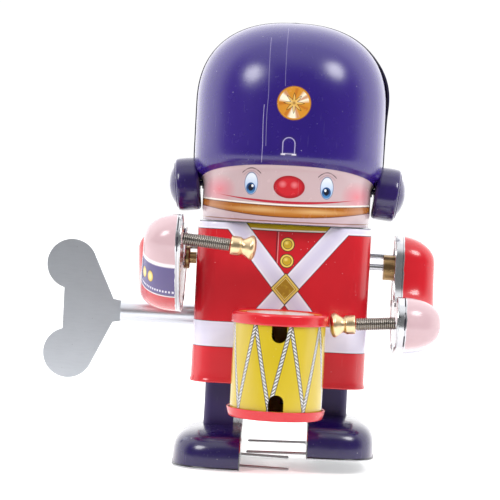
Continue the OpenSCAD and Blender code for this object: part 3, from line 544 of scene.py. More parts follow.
def tunic_skin(face):
    """Printed coat; the front also has cross belts, buttons and a buckle."""
    skin = Skin("tunic_print_front" if face > 0 else "tunic_print_rear", RED)
    ink, dye, fill = skin.ink, skin.dye, skin.fill
    x, z = skin.x, skin.z
    ink(DEEP_RED, skin.patches(0.045, 0.4, 2.0, (1, 1, 0.6)) * 0.8)
    dye(216, 44, 54, (z - 43.0).inside(1.0) * 0.7)
    if face > 0:
        # a coat seam and two ringed buttons
        seam = abs(x + 2.75) - 0.14
        ink(LINE_INK, seam.most((z - 88.0).most((z - 70.0) * -1)).inside())
        dye(238, 196, 200, (abs(x + 2.2) - 0.12).most((z - 88.0).most((z - 70.0) * -1)).inside() * 0.6)
        for height in (82.4, 76.3):
            button = skin.ellipse((1.3, height), (2.35, 2.35))
            ink(LINE_INK, (button - 0.3).inside())
            fill(236, 206, 96, button)
            dye(84, 64, 24, (abs(button + 0.75) - 0.13).inside())
            fill(200, 164, 40, button + 0.9)
            # a painted highlight on each button
            dye(236, 214, 110, skin.ellipse((0.9, height + 0.5), (0.6, 0.5)).inside(0.7))
        # yellow collar over a white and a dark line
        sag = x * x * 0.0012
        ink(LINE_INK, (-(z - 86.95 - sag)).inside())
        dye(244, 236, 226, (-(z - 87.2 - sag)).inside())
        ink(YELLOW, (-(z - 87.75 - sag)).inside())
        dye(196, 156, 22, (abs(z - 88.3 - sag) - 0.3).inside(0.7) * 0.5)
        # each belt runs from a shoulder down across the chest
        past = (-(z - 86.95))
        for side in (-1, 1):
            diagonal = skin.band(90 + side * BELT_SLOPE, belt_offset(side), 3.35)
            shoulder = past.most((x * side - 19.5) * -1)
            belt = diagonal.least(shoulder)
            below = ((z - 52.6) * -1).most(belt)
            ink(LINE_INK, (below - 0.24).inside())
            ink(WHITE_INK, below.inside())
            shade = skin.band(90 + side * BELT_SLOPE, belt_offset(side), 1.7)
            dye(206, 200, 230, shade.inside(2.0) * below.inside() * 0.55)
            edge = abs(below + 0.45) - 0.12
            dye(252, 250, 255, edge.inside(0.3) * 0.8)
        # buckle
        buckle = (abs(x - 1.2) * (1 / 5.1) + abs(z - 66.0) * (1 / 5.6) - 1) * 3.75
        ink(LINE_INK, (buckle - 0.28).inside())
        for colour, inset in (((226, 196, 96), 0), ((120, 82, 24), 0.75), ((240, 216, 130), 0.95),
                              ((166, 124, 28), 1.2)):
            fill(*colour, buckle + inset)
        dye(206, 176, 48, (buckle + 1.2).inside() * skin.patches(0.9, 0.5, 3.0))
    # waist belt
    waist = abs(z - 48.1) - 4.6
    ink(LINE_INK, (waist - 0.2).inside())
    ink(WHITE_INK, waist.inside())
    dye(206, 202, 230, skin.patches(0.06, 0.4, 2, (1, 1, 3))
             * (waist + 0.6).inside() * 0.6)
    return glossy(skin, 0.24, 0.06, 0.12, 0.4, 0.035)


# Where the belts cross, and how steep they are, in degrees
BELT_CROSS = (1.3, 65.4)
BELT_SLOPE = 50.4


def belt_offset(side):
    """How far a belt's middle line lies from the origin along its normal."""
    a = radians(90 + side * BELT_SLOPE)
    return BELT_CROSS[0] * cos(a) + BELT_CROSS[1] * sin(a)


ROPES = 8
ROPE_TOP, ROPE_LOW = 54.4, 24.6


def drum_skin():
    """Yellow side with eight printed ropes, each a V of twisted strands."""
    skin = Skin("drum_print", YELLOW)
    dye, fill = skin.dye, skin.fill
    x, y, z = skin.x, skin.y + DRUM_Y, skin.z
    dye(208, 184, 52, skin.patches(0.06, 0.4, 2, (1, 1, 0.5)))
    # 0 at the front, growing towards the figure's left, in parts of one V
    turn = x.op("ARCTAN2", y * -1) * (ROPES / (2 * pi))
    share = (z - ROPE_LOW) * (1 / (ROPE_TOP - ROPE_LOW))
    pitch = 2 * pi * DRUM_R / ROPES
    for side in (-1, 1):
        # from a bottom apex at -8.5 degrees up to the top apexes on each side of it
        line = turn + (8.5 / 45) + share * (-side * 0.5)
        near = (line - 0.5).op("FRACT") - 0.5
        away = abs(near) * pitch
        rope = away - 0.56
        ends = (z - ROPE_TOP - 0.6).most((z - ROPE_LOW + 0.6) * -1)
        rope = rope.most(ends)
        fill(58, 52, 40, rope - 0.26)
        fill(226, 224, 222, rope)
        twist = ((z * 4.6) - near * (pitch * 4.6 * side)).op("SINE")
        dye(44, 42, 42, rope.inside() * (twist - 0.15).boost(4.0))
    return glossy(skin, 0.22, 0.05, 0.1, 0.3, 0.02)


def drum_head_skin():
    """Red rim round a printed gold ring and a white skin."""
    skin = Skin("drum_lid", srgb(206, 26, 38))
    dye = skin.dye
    x, y = skin.x, skin.y + DRUM_Y
    radius = skin.length(skin.flat(x, y))
    angle = y.op("ARCTAN2", x)
    up = ((skin.z - 57.4) * -1).inside(0.1)
    dye(226, 152, 50, (radius - 15.2).inside() * up)
    dye(246, 204, 110, (radius - 14.4).inside() * up * (angle * 5).op("SINE").boost(0.7))
    dye(170, 60, 30, (abs(radius - 12.4) - 0.2).inside() * up)
    dye(240, 234, 222, (radius - 12.2).inside() * up)
    rays = (angle * 9).op("SINE") * (radius * 0.08)
    dye(206, 190, 160, (radius - 12.0).inside() * up * rays.op("MAXIMUM", 0, clamp=True) * 0.7)
    return glossy(skin, 0.22, 0.05, 0.15, 0.4, 0.03)


def arm_skin(side):
    """Red sleeve, dark cuff with buttons and a dotted seam, and a pale hand."""
    skin = Skin("arm_print_" + SIDES[side], RED)
    ink, dye = skin.ink, skin.dye
    along, turn = skin.printed()
    skin.sheet = skin.flat(along, turn)
    ink(DEEP_RED, skin.patches(0.06, 0.4, 2.0) * 0.7)
    cuff = ((along - 0.735) * -1)
    dye(226, 218, 228, (cuff - 0.014).inside(0.006))
    ink(LINE_INK, (cuff - 0.004).inside(0.006))
    dye(82, 70, 128, cuff.inside(0.006))
    dots = abs((turn * 0.22).op("FRACT") - 0.5) - 0.26
    seam = abs(along - 0.765) - 0.008
    dye(224, 220, 236, seam.inside(0.006) * dots.inside(0.1))
    for place in (118, 136):
        button = skin.ellipse((0.85, place), (0.036, 6.2))
        dye(70, 52, 20, (button - 0.004).inside(0.008))
        dye(226, 188, 92, button.inside(0.008))
        dye(250, 226, 150, (button + 0.016).inside(0.016))
    hand = ((along - 0.955) * -1)
    dye(240, 232, 236, (hand - 0.02).inside(0.008))
    dye(204, 172, 178, hand.inside(0.008))
    dye(198, 164, 172, hand.inside(0.008) * skin.patches(0.1, 0.5, 2))
    # the fold along the inner plate is bare, and its print ends in an uneven line
    out = skin.x * side - ARM_X[side]
    fold = (out - BARE_FOLD[side] + (skin.noise(0.3, detail=2) - 0.5) * 0.7).inside(0.2)
    ink((0.62, 0.63, 0.66), fold)
    ink((0.16, 0.16, 0.18), (abs(out - BARE_FOLD[side] + 0.5) - 0.14).inside(0.2) * 0.7)
    skin.tree.links.new(fold.socket, skin.shader.inputs["Metallic"])
    return glossy(skin, 0.22, 0.05, 0.1, 0.3, 0.03, metal=None)


def metal(name, colour, rough, stretch=(1, 1, 1), scale=1.2, tint=None, by=0.08, bump_mm=0.012):
    """Bare metal whose grain runs across the stretched axis."""
    skin = Skin(name, colour)
    grain = skin.noise(scale, stretch, detail=5)
    dull = tuple(c * 0.72 for c in colour) if tint is None else tint
    skin.ink(dull, (grain - 0.42).boost(2.4) * 0.6)
    spots = (skin.cells(0.3) - 0.05).inside(0.06) * 0.5
    skin.ink(tuple(c * 0.5 for c in colour), spots)
    return skin.finish(rough, by, metal=1.0, bump=grain, bump_mm=bump_mm, wear=spots)


TINPLATE = metal("tinplate", (0.62, 0.63, 0.65), 0.24, (1, 6, 0.4), 0.8)
SPRING_STEEL = metal("spring_steel", (0.34, 0.31, 0.28), 0.3, (1, 1, 1), 2.0, tint=(0.2, 0.16, 0.13))
KEY_STEEL = metal("key_steel", (0.66, 0.69, 0.74), 0.34, (0.5, 1, 3), 0.5, tint=(0.60, 0.63, 0.68),
                  by=0.03, bump_mm=0.004)
SHAFT_STEEL = metal("shaft_steel", (0.58, 0.59, 0.62), 0.18, (6, 0.5, 0.5), 0.8)
WIRE_STEEL = metal("wire_steel", (0.36, 0.36, 0.37), 0.3, (0.3, 6, 6), 0.8)
LEG_STEEL = metal("leg_steel", (0.50, 0.51, 0.53), 0.26, (1, 1, 0.3), 0.8)
BRASS = metal("brass", (0.80, 0.62, 0.38), 0.3, (5, 0.4, 0.4), 0.9, tint=(0.60, 0.43, 0.24))
DARK_BRASS = metal("dark_brass", (0.34, 0.22, 0.10), 0.3, (5, 0.4, 0.4), 0.9, tint=(0.26, 0.17, 0.08))
GEAR_BRASS = metal("gear_brass", (0.72, 0.50, 0.22), 0.28, (0.4, 2, 2), 1.0)
HEAD_PRINT = head_front_skin()
HAT_PLAIN = lacquer("hat_lacquer", srgb(30, 16, 66), srgb(44, 26, 92))
EAR_LACQUER = lacquer("ear_lacquer", srgb(36, 16, 86), srgb(48, 26, 104))
# black lacquer for the head's seam line and hook and the hem tab; also painted shade in the sole gaps and the
# arms' slots
SEAM_BLACK_AND_GAP_SHADE = lacquer("seam_black_and_gap_shade", srgb(22, 16, 34), srgb(34, 24, 54), 0.3)
TUNIC_FRONT = tunic_skin(1)
TUNIC_REAR = tunic_skin(-1)
DRUM_PRINT = drum_skin()
DRUM_LID = drum_head_skin()
ARM_PRINT = {side: arm_skin(side) for side in SIDES}
BOOT_LACQUER = lacquer("boot_lacquer", srgb(24, 4, 72), srgb(34, 10, 86), 0.24, 0.5)
LEG_LACQUER = lacquer("leg_lacquer", srgb(40, 16, 84), srgb(50, 24, 98), 0.4, 0.0)
# dark lacquer painted as the shade inside the drumstick springs
COIL_SHADE_CORE = lacquer("coil_shade_core", srgb(26, 24, 28), srgb(34, 32, 38), 0.5)

# ---------- Head ----------
HEAD_STEPS = 120
DOME = [(DOME_Z + (TOTAL_H - DOME_Z) * sin(radians(e)) ** (2 / HEAD_SQUARE),
         HAT_W * cos(radians(e)) ** (2 / HEAD_SQUARE), 0) for e in np.linspace(3, 88.5, 34)]
HEAD_LOWER = soften([(HEAD_Z, FACE_W - 0.4, 0), (HEAD_Z + 2.5, FACE_W, 0), (HEAD_Z + 10, FACE_W, 0),
                     (BRIM_Z - 1.5, FACE_W, 1), (BRIM_Z, FACE_W + 1.6, 1), (BRIM_Z + 1.2, HAT_W - 0.8, 1),
                     (BRIM_Z + 4, HAT_W, 0.8), (DOME_Z - 9, HAT_W, 0.2), (DOME_Z, HAT_W, 0)], 3)


def head_grid(face, skin):
    """Outer or inner skin of a head half; face is 1 in front and -1 behind."""
    a = np.radians(np.linspace(0, 180, HEAD_STEPS + 1))
    rows, nominal = [], []
    for z, w, share in [*HEAD_LOWER, *DOME]:
        half = w - skin
        shift = share * BRIM_DROP * ((1 - np.sin(a)) if face > 0 else np.ones_like(a))
        rows.append(np.stack([-half * bend(np.cos(a), 2 / HEAD_SQUARE),
                              -face * half * HEAD_DEPTH * bend(np.sin(a), 2 / HEAD_SQUARE),
                              np.full_like(a, z) - shift - (skin if z > DOME_Z else 0)], 1))
        nominal.append(np.stack([np.full_like(a, z), np.degrees(a)], 1))
    rows.append(np.tile([0.0, 0.0, TOTAL_H - skin], (len(a), 1)))
    nominal.append(nominal[-1])
    return np.array(rows), np.array(nominal)


def emboss(grid):
    """Presses the small arched tab out of the hat's front."""
    x, z = grid[..., 0] - TAB_AT[0], grid[..., 2] - TAB_AT[1]
    top = np.hypot(x, z - 0.8) - TAB_HALF
    leg = np.maximum(np.abs(x) - TAB_HALF, np.abs(z + 1.0) - 2.0)
    inside = np.clip(0.5 - np.minimum(top, leg) / 0.9, 0, 1) * (grid[..., 1] < -20)
    out = grid.copy()
    out[..., 1] -= 0.45 * inside
    return out


outer, nominal = head_grid(1, 0)
inner, _ = head_grid(1, TIN)
Form().skin(emboss(outer), inner, nominal, 1).make(
    "head_front", "figure", [HEAD_PRINT, TINPLATE], ["head_front_shell"], "head_print")

# The rear half stands a little proud on the figure's left, where its dark edge shows
REAR_PROUD = 1.6


def lean_out(grid):
    out = grid.copy()
    bulge = np.exp(-((grid[..., 2] - 143) / 15.0) ** 2)
    near = np.clip(1 - grid[..., 1] / 9.0, 0, 1)
    out[..., 0] += REAR_PROUD * bulge * near * np.clip(grid[..., 0] / 20, 0, 1)
    return out


outer, nominal = head_grid(-1, 0)
inner, _ = head_grid(-1, TIN)
Form().skin(lean_out(outer), lean_out(inner), nominal, 1).make(
    "head_rear", "figure", [HAT_PLAIN, TINPLATE], ["head_rear_shell"], "head_print")


def head_outline(grow):
    """The seam from ear to ear over the top, in the plane between the halves."""
    rows = [(z - share * BRIM_DROP, w) for z, w, share in [*HEAD_LOWER, *DOME] if z - share * BRIM_DROP > 101]
    right = [(-w - grow, z) for z, w in rows]
    left = [(w + grow, z) for z, w in rows]
    peak = [(0.0, TOTAL_H + grow)]
    return right + peak + left[::-1]


seam = [(x + (REAR_PROUD * 0.45 * exp(-((z - 143) / 15.0) ** 2) if x > 0 else 0), 0.3, z)
        for x, z in head_outline(0.12)]
hook = [(-31.9, -0.6, 106.4), (-32.3, -0.9, 105.0), (-33.1, -0.9, 104.3), (-34.0, -0.7, 105.3),
        (-34.5, -0.4, 107.6)]
Form().tube(seam, 0.42).tube(hook, 0.3).make("head_seam", "figure", [SEAM_BLACK_AND_GAP_SHADE], slot="head_print")

# ---------- Ears ----------
EAR_Z, EAR_START, EAR_TILT = 103.3, 31.9, radians(6.5)
EAR_INNER = 0.9
for side, word in SIDES.items():
    axis = (side * cos(EAR_TILT), 0, -sin(EAR_TILT))
    origin = (side * EAR_START, 0, EAR_Z)
    cup = soften([(0, EAR_INNER), (8.4, EAR_INNER), (9.6, EAR_INNER + 0.6), (10, EAR_INNER + 1.8), (10, 8.6),
                  (9.6, 9.5), (8.7, 9.9), (8.2, 9.9), (8.2, 9.4), (9.2, 9.0), (9.4, 8.4), (9.4, 4.8),
                  (8.6, EAR_INNER + 1), (0, EAR_INNER + 0.5)], 2)
    Form().revolve(cup, origin, axis).make(
        "ear_cup_" + word + "_piece", "figure", [EAR_LACQUER], ["ear_cup_" + word], "ear_lacquer")
    dome = [(r, 12.6 - 2.5 * (r / 7.6) ** 2.3) for r in np.linspace(0.01, 7.6, 14)]
    cap = dome + [(8.25, 10.0), (8.25, 9.5), (7.4, 9.5), (0.01, 9.6)]
    bead = [(8.25 * cos(t), 8.25 * sin(t)) for t in np.linspace(0, 2 * pi, 72, endpoint=False)]
    ring = [np.array(origin) + np.array(axis) * 9.95 + np.array([side * sin(EAR_TILT) * v, u,
            cos(EAR_TILT) * v]) for u, v in bead]
    Form().revolve(cap, origin, axis).tube(ring, 0.28, closed=True).make(
        "ear_cap_" + word + "_piece", "figure", [EAR_LACQUER], ["ear_cap_" + word], "ear_lacquer")

# ---------- Tunic ----------


def rounded_half(face, grow, steps=14):
    """Half of the coat's outline, from the figure's right round the front or back to its left."""
    w, d, r = TUNIC_W + grow, TUNIC_D + grow, TUNIC_R + grow
    points = [(-w, 0.0)]
    for side, first in ((-1, 180), (1, 270)):
        for t in np.radians(np.linspace(first, first + 90, steps)):
            points.append((side * (w - r) + r * cos(t), -(d - r) + r * sin(t)))
    points.append((w, 0.0))
    out = []
    for (ax, ay), (bx, by) in zip(points, points[1:]):
        pieces = max(1, int(hypot(bx - ax, by - ay) / 4))
        out += [(ax + (bx - ax) * k / pieces, ay + (by - ay) * k / pieces) for k in range(pieces)]
    out.append(points[-1])
    return [(x, y if face > 0 else -y) for x, y in out]


# Rolled hem and top edge: (growth, height)
TUNIC_ROWS = soften([(-0.5, HEM_Z + 0.9), (-0.2, HEM_Z + 0.1), (0.35, HEM_Z), (0.5, HEM_Z + 0.6),
                     (0.1, HEM_Z + 1.6), (0, HEM_Z + 3), (0, 60), (0, 86), (0, 88.8), (-0.3, 89.45),
                     (-0.9, 89.6)], 2)
for face, word, look in ((1, "front", TUNIC_FRONT), (-1, "rear", TUNIC_REAR)):
    outer = [[(x, y, z) for x, y in rounded_half(face, g)] for g, z in TUNIC_ROWS]
    inner = [[(x, y, z) for x, y in rounded_half(face, min(g, 0) - TIN)] for g, z in TUNIC_ROWS]
    Form().skin(outer, inner, None, 1).make(
        "tunic_" + word, "figure", [look, TINPLATE], [f"tunic_{word}_shell"], "tunic_print")

# A tab of the rear half, folded under the hem at the figure's left
Form().box((TUNIC_W - 2.2, 1.6, HEM_Z - 0.3), (3.6, 3.4, 1.1), 0.25).make(
    "hem_tab", "figure", [SEAM_BLACK_AND_GAP_SHADE], slot="tunic_print")

# ---------- Drum rims ----------
# Profiles are (radius, height) from each lid's own level
LID_Z, FOOT_Z = 58.5, 20.4
lid = soften([(0.01, -0.5), (13.6, -0.5), (15.4, -0.55), (15.9, -0.1), (16.8, 0), (17.5, -0.6), (RIM_R, -1.4),
              (RIM_R, -3.5), (17.5, -4.1), (17.0, -4.3), (16.7, -4.2), (16.7, -1.2), (0.01, -1.2)], 2)
foot = soften([(0.01, 0.3), (15.8, 0.3), (16.4, 0), (16.9, 0.2), (17.3, 1.2), (17.7, 3.1), (17.9, 3.5),
               (17.6, 3.7), (17.2, 3.3), (16.8, 1.4), (16.4, 0.7), (0.01, 0.7)], 2)
for name, node, profile, level in (("drum_lid_piece", "drum_head", lid, LID_Z),
                                   ("drum_foot_piece", "drum_bottom", foot, FOOT_Z)):
    Form().revolve(profile, (0, -DRUM_Y, level), (0, 0, 1), 128).make(
        name, "figure", [DRUM_LID], [node], "drum_lid")

# ---------- Arms ----------
ARM_START, ARM_ELBOW, ARM_HAND = np.array([0, 3.0]), np.array([-2, -30.0]), np.array([36.5, -18.5])


def arm_at(s):
    return (1 - s) ** 2 * ARM_START + 2 * s * (1 - s) * ARM_ELBOW + s * s * ARM_HAND


def arm_along(s):
    t = (1 - s) * (ARM_ELBOW - ARM_START) + s * (ARM_HAND - ARM_ELBOW)
    return t / np.linalg.norm(t)


def arm_stations():
    """(centre, direction, share of the full half width, number along the arm)."""
    def end(s, way, angles):
        return [(arm_at(s) + arm_along(s) * way * ARM_R * sin(e), arm_along(s), cos(e),
                 s + way * 0.2 * sin(e)) for e in np.radians(angles)]

    ends = np.linspace(86, 8, 10)
    middle = [(arm_at(s), arm_along(s), 1.0, s) for s in np.linspace(0, 1, 40)]
    return end(0, -1, ends) + middle + end(1, 1, ends[::-1])


def on_arm(side, forward, up, out):
    """A place on an arm, from its side view and its distance out from the inner plate."""
    t = radians(ARM_TURN[side])
    y = -(forward * cos(t) - up * sin(t))
    z = up * cos(t) + forward * sin(t)
    return side * (ARM_X[side] + out), y, SHOULDER_Z + z


def arm_grid(side, skin):
    rows, prints = [], []
    for centre, t, share, number in arm_stations():
        across = np.array([-t[1], t[0]])
        near, far = ARM_BULGE[side]
        bulge = near + (far - near) * min(max(number, 0), 1) - TIN
        r, depth = max(ARM_R * share - skin, 0.02), max(bulge * share - skin, 0.02)
        row, marks = [], []
        for a in np.linspace(0, 180, 49):
            p = centre + across * r * bend(cos(radians(a)), 2 / 2.5)
            row.append(on_arm(side, p[0], p[1], TIN + depth * bend(sin(radians(a)), 2 / 2.5)))
            marks.append((number, a))
        rows.append(row)
        prints.append(marks)
    return np.array(rows), np.array(prints)


for side, word in SIDES.items():
    outer, prints = arm_grid(side, 0)
    inner, _ = arm_grid(side, TIN)
    Form().skin(outer, inner, prints, 1).make(
        "arm_" + word + "_shell_piece", "arm_" + word, [ARM_PRINT[side], TINPLATE], ["arm_shell_" + word],
        "arm_print")
    # folded tabs that hold the shell to its plate, round its edge
    tabs = Form()
    for s, up in ((0.12, 1), (0.45, 1), (0.8, 1), (1.0, 1), (0.25, -1), (0.6, -1), (0.92, -1)):
        centre, t = arm_at(s), arm_along(s)
        edge = centre + np.array([-t[1], t[0]]) * up * (ARM_R - 0.9)
        tilt = atan2(t[1], t[0]) + radians(ARM_TURN[side])
        turn = Matrix.Rotation(-tilt, 3, "X")
        tabs.box(on_arm(side, edge[0], edge[1], -0.22), (0.45, 2.6, 1.5), 0.12, np.array(turn))
    # dark tubes painted as the shade inside slots along the fold
    for low_end, high_end in ((-78, -42), (-30, 12), (26, 62)):
        turns = np.radians(np.linspace(low_end, high_end, 9)) + atan2(*arm_along(1)[::-1])
        slot = [arm_at(1) + (ARM_R - 0.25) * np.array([cos(t), sin(t)]) for t in turns]
        tabs.tube([on_arm(side, *p, BARE_FOLD[side] - 0.6) for p in slot], 0.36, 8, look=1)
    edge = [c + np.array([-t[1], t[0]]) * (ARM_R * share - 0.1) for c, t, share, _ in arm_stations()]
    edge += [c - np.array([-t[1], t[0]]) * (ARM_R * share - 0.1) for c, t, share, _ in arm_stations()[::-1]]
    tabs.tube([on_arm(side, *p, 0.05) for p in edge[2:-2]], 0.3, 8)
    tabs.make("arm_tabs_" + word, "arm_" + word, [TINPLATE, SEAM_BLACK_AND_GAP_SHADE], slot="bare_tin")


def stick_axis(side):
    """Start point at the plate and unit direction inward along a drumstick."""
    start = np.array(on_arm(side, STICK_AT[0], STICK_AT[1], 0))
    a = radians(STICK_SLOPE)
    return start, np.array([-side * cos(a), 0, -sin(a)])


BUSH_R, BUSH_BORE = 4.3, 1.5
bush = [(BUSH_BORE, 0), (BUSH_R - 0.3, 0), (BUSH_R, 0.3), (BUSH_R, 1.3), (BUSH_R - 0.4, 1.7),
        (2.2, 1.7), (2.2, 4.1), (BUSH_BORE, 4.1), (BUSH_BORE, 0)]
Form().revolve(bush, (-ARM_X[-1], 0, SHOULDER_Z), (1, 0, 0)).make(
    "bush_right", "arm_right", [DARK_BRASS], ["shoulder_bush_right"], "brass", smooth=30)

COIL_PITCH = 0.74
WIRE_R = 0.35
for side, word in SIDES.items():
    start, along = stick_axis(side)
    up = np.cross(along, (0, 1, 0))
    reach = STICK_REACH[side] - TIP_L
    turns = (reach - 2 * WIRE_R) / COIL_PITCH
    angles = np.linspace(0, 2 * pi * turns, int(turns * 20))
    coil = [start + along * (0.2 + WIRE_R + a / (2 * pi) * COIL_PITCH)
            + (STICK_R - WIRE_R) * (cos(a) * up + sin(a) * np.array([0, 1, 0])) for a in angles]
    # a dark core stands in for the shade seen inside the spring's coils
    shade_core = [start + along * 0.3, start + along * (reach - 0.1)]
    Form().tube(coil, WIRE_R, 8).tube(shade_core, STICK_R - 1.5 * WIRE_R, 20, look=1).make(
        "stick_coil_" + word, "arm_" + word, [SPRING_STEEL, COIL_SHADE_CORE], ["stick_spring_" + word],
        "spring_steel", smooth=60)
    knob = soften([(0.01, 0), (3.1, 0), (3.45, 0.3), (3.45, 3.3), (3.25, 3.6), (2.8, 4.1), (2.85, 4.9),
                   (4.2, 6.8), (4.5, 7.4), (4.35, 8.1), (3.7, 8.7), (2.2, 9.15), (0.01, TIP_L)], 2)
    Form().revolve(knob, start + along * (reach + 0.2), along, 96).make(
        "stick_knob_" + word, "arm_" + word, [BRASS], ["stick_tip_" + word], "brass", smooth=35)

# ---------- Legs and shoes ----------


def leg_outline(grow, steps=10):
    """A leg's walls from its inner front edge round the outer side to its inner back edge."""
    d, outer, r = 9.4 + grow, LEG_OUTER_X + grow, 3.0 + grow
    points = [(LEG_X + 3.5, -d)]
    for way, first in ((-1, -90), (1, 0)):
        points += [(outer - r + r * cos(t), way * (d - r) + r * sin(t))
                   for t in np.radians(np.linspace(first, first + 90, steps))]
    return points + [(LEG_X + 3.5, d)]


def shoe_grid(side, skin):
    rows = []
    shift_y, lift = LEG_SHIFT[side]
    middle, half = (HEEL_Y - TOE_Y) / 2, (HEEL_Y + TOE_Y) / 2
    for e in [*np.linspace(0, 84, 26), 89.5]:
        share = bend(cos(radians(e)), 2 / SHOE_SQUARE)
        z = TIN + (SHOE_H - TIN - skin) * bend(sin(radians(e)), 2 / SHOE_SQUARE)
        wide, long = (SHOE_X - LEG_X - TIN - skin) * share, (half - skin) * share
        rows.append([(side * (LEG_X + TIN + wide * bend(sin(a), 2 / SOLE_SQUARE)),
                      middle * share - long * bend(cos(a), 2 / SOLE_SQUARE) + shift_y, z + lift)
                     for a in np.radians(np.linspace(0, 180, 61))])
    return np.array(rows)


for side, word in SIDES.items():
    shift_y, lift = LEG_SHIFT[side]
    body = "leg_" + word

    def standing(x, y, z):
        return side * x, y + shift_y, z + lift

    heights = soften([(0.0, 11.9), (0.0, 14), (-0.12, 22), (0.0, 36)], 2)
    outer = [[standing(x, y, z) for x, y in leg_outline(g)] for g, z in heights]
    inner = [[standing(x, y, z) for x, y in leg_outline(g - TIN)] for g, z in heights]
    Form().skin(outer, inner, None, 1).make(
        "leg_walls_" + word, body, [LEG_LACQUER, TINPLATE], ["leg_shell_" + word], "boot_lacquer")
    welt = [standing(x, y, 13.4) for x, y in leg_outline(0.12)]
    Form().skin(shoe_grid(side, 0), shoe_grid(side, TIN), None, 1).tube(welt, 0.3, 8).make(
        "shoe_" + word + "_piece", body, [BOOT_LACQUER, TINPLATE], ["shoe_shell_" + word], "boot_lacquer")
    # a dark tube painted as the shade in the gap between the shoe and its sole plate
    edge = [(LEG_X + TIN + (SHOE_X - LEG_X - TIN + 0.05) * bend(sin(a), 2 / SOLE_SQUARE),
             (HEEL_Y - TOE_Y) / 2 - ((HEEL_Y + TOE_Y) / 2 + 0.05) * bend(cos(a), 2 / SOLE_SQUARE))
            for a in np.radians(np.linspace(0, 180, 91))]
    Form().tube([standing(x, y, 0.62) for x, y in edge], 0.26, 8).make(
        "sole_gap_" + word, body, [SEAM_BLACK_AND_GAP_SHADE], slot="boot_lacquer")
    # bent wire: across the sole, then two prongs that slope to the floor
    low, high = figure_box("outrigger_" + word)
    tip_x = -low[0] if side > 0 else high[0]
    front, back, root = -26.0, 9.0, 20.0
    slope = 0.4 / (LEG_X + tip_x)
    root_z = 0.5 + (root + tip_x) * slope
    corner = 1.6
    half_path = [(-tip_x, front, 0.5), (root - corner - 4, front, root_z - (corner + 4) * slope),
                 (root - corner, front, root_z - corner * slope)]
    arc = [(root - corner + corner * sin(t), front + corner * (1 - cos(t)), root_z)
           for t in np.radians(np.linspace(0, 90, 7))[1:]]
    one = half_path + arc
    other = [(x, front + back - y, z) for x, y, z in one[::-1]]
    Form().tube([standing(x, y, z) for x, y, z in one + other], 0.5, 14).make(
        "wire_" + word, body, [WIRE_STEEL], ["outrigger_" + word], "spring_steel")

# ---------- CAD nodes that are shown as they are ----------
# A name that ends with _ stands for its right and left nodes
LOOKS = {
    TINPLATE: ["tunic_base_plate", "tunic_top_plate", "drum_bracket", "clockwork_plate_",
               "frame_posts", "arm_plate_"],
    LEG_STEEL: ["leg_plate_", "sole_plate_"],
    SPRING_STEEL: ["mainspring", "click_spring"],
    KEY_STEEL: ["key_shank", "key_wing", "winding_arbor"],
    SHAFT_STEEL: ["shoulder_axle", "arm_crank_shaft", "arm_crank_", "leg_crank_shaft", "leg_crank_"],
    DARK_BRASS: ["shoulder_bush_left"],
    GEAR_BRASS: ["ratchet_wheel", "click", "main_gear", "upper_pinion", "upper_wheel", "lower_pinion",
                 "lower_wheel", "arm_crank_pinion", "leg_crank_pinion"],
    EAR_LACQUER: ["ear_flange_"],
    DRUM_PRINT: ["drum_shell"],
}
BEVELS = {"key_wing": 0.35, "key_shank": 0.3, "shoulder_bush_left": 0.25,
          "sole_plate_right": 0.08, "sole_plate_left": 0.08}
for look, names in LOOKS.items():
    for name in [n + word for n in names for word in (SIDES.values() if n.endswith("_") else [""])]:
        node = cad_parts[name]
        node.data.materials.clear()
        node.data.materials.append(look)
        node.data.polygons.foreach_set("use_smooth", [True] * len(node.data.polygons))
        node.data.set_sharp_from_angle(angle=radians(30))
        if name in BEVELS:
            bevel = node.modifiers.new("edge", "BEVEL")
            bevel.width = BEVELS[name] * MM
            bevel.segments = 3
            bevel.limit_method = "ANGLE"
            bevel.angle_limit = radians(40)
            bevel.harden_normals = True

# ---------- Stage, light and camera ----------


def in_row(x, y, z):
    return Vector(((x + OFFSET[0]) * MM, (y + OFFSET[1]) * MM, z * MM))


def stage_plane():
    mesh = bpy.data.meshes.new("floor")
    s, front = 4.0, -0.22
    mesh.from_pydata([(-s, front, 0), (s, front, 0), (s, s, 0), (-s, s, 0)], [], [(0, 1, 2, 3)])
    floor = add_object("floor", mesh)
    floor.location = (0, 0, -0.0002)
    material = bpy.data.materials.new("floor_white")
    material.use_nodes = True
    put = material.node_tree.nodes["Principled BSDF"].inputs
    for name, value in (("Base Color", (0.9, 0.9, 0.9, 1)), ("Roughness", 0.9), ("Specular IOR Level", 0.0),
                        ("Emission Color", (1, 1, 1, 1)), ("Emission Strength", 0.3)):
        put[name].default_value = value
    mesh.materials.append(material)


def area_light(name, direction, distance=1.1, size=(0.36, 0.42), power=4.6):
    light = bpy.data.lights.new(name, "AREA")
    light.shape = "ELLIPSE"
    light.size, light.size_y = size
    light.energy = power
    holder = add_object(name, light)
    direction = Vector(direction).normalized()
    holder.location = in_row(0, -20, 100) + direction * distance
    holder.rotation_mode = "QUATERNION"
    holder.rotation_quaternion = direction.to_track_quat("Z", "Y")


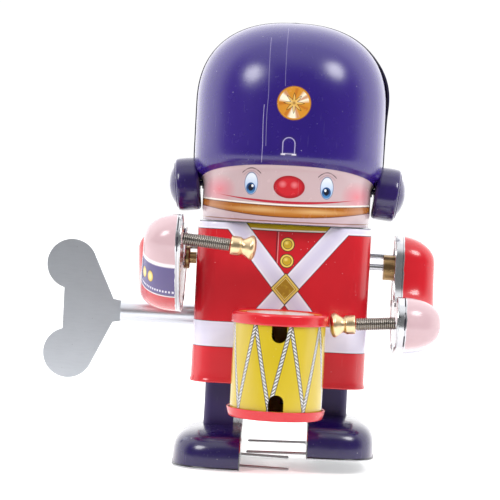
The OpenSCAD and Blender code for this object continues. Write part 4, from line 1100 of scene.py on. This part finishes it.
def studio_world():
    """A white tent round the toy, darker on the side it is seen from."""
    world = bpy.data.worlds.new("studio")
    bpy.context.scene.world = world
    world.use_nodes = True
    tree, nodes = world.node_tree, world.node_tree.nodes
    facing = nodes.new("ShaderNodeSeparateXYZ")
    feed(tree, facing.inputs[0], nodes.new("ShaderNodeTexCoord").outputs["Generated"])
    glows = []
    for axis, (start, dim), (end, bright) in (("Y", TENT_FRONT, TENT_SIDE), ("Z", TENT_LOW, TENT_TOP)):
        glow = nodes.new("ShaderNodeMapRange")
        glow.interpolation_type = "SMOOTHSTEP"
        for place, value in (("From Min", start), ("From Max", end), ("To Min", dim), ("To Max", bright),
                             ("Value", facing.outputs[axis])):
            feed(tree, glow.inputs[place], value)
        glows.append(glow.outputs["Result"])
    tent = nodes.new("ShaderNodeMath")
    tent.operation = "MAXIMUM"
    for place, value in zip(tent.inputs, glows):
        feed(tree, place, value)
    seen = nodes.new("ShaderNodeMix")
    ray = nodes.new("ShaderNodeLightPath").outputs["Is Camera Ray"]
    for place, value in (("Factor", ray), ("A", tent.outputs[0]), ("B", SEEN_WHITE)):
        feed(tree, seen.inputs[place], value)
    back = nodes["Background"].inputs
    feed(tree, back["Color"], (1, 1, 1, 1))
    feed(tree, back["Strength"], seen.outputs["Result"])


# The tent's brightness: each pair is a direction's share along the axis, and how bright it is there
TENT_FRONT, TENT_SIDE = (-0.45, 0.22), (0.12, 1.7)
TENT_LOW, TENT_TOP = (0.45, 0.0), (0.95, 1.3)
# The backdrop that the camera sees
SEEN_WHITE = 1.05
stage_plane()
studio_world()
area_light("key_left", (-0.52, -0.68, 0.52))
area_light("key_right", (0.53, -0.54, 0.65))

CAMERA_AT, LOOK_AT, LEAN = (0, -813, 102.4), (-12.8, 0, 79.0), radians(3)
camera = add_object("camera", bpy.data.cameras.new("camera"))
camera.data.lens = 154.8
camera.data.sensor_width = 36
camera.data.clip_start, camera.data.clip_end = 0.01, 20
forward = (in_row(*LOOK_AT) - in_row(*CAMERA_AT)).normalized()
right = forward.cross(Vector((0, 0, 1))).normalized()
up = right.cross(forward)
leaned_up = up * cos(LEAN) - right * sin(LEAN)
leaned_right = right * cos(LEAN) + up * sin(LEAN)
camera.matrix_world = Matrix.Translation(in_row(*CAMERA_AT)) @ Matrix(
    (leaned_right, leaned_up, -forward)).transposed().to_4x4()
bpy.context.scene.camera = camera
bpy.context.scene.view_settings.view_transform = "Standard"
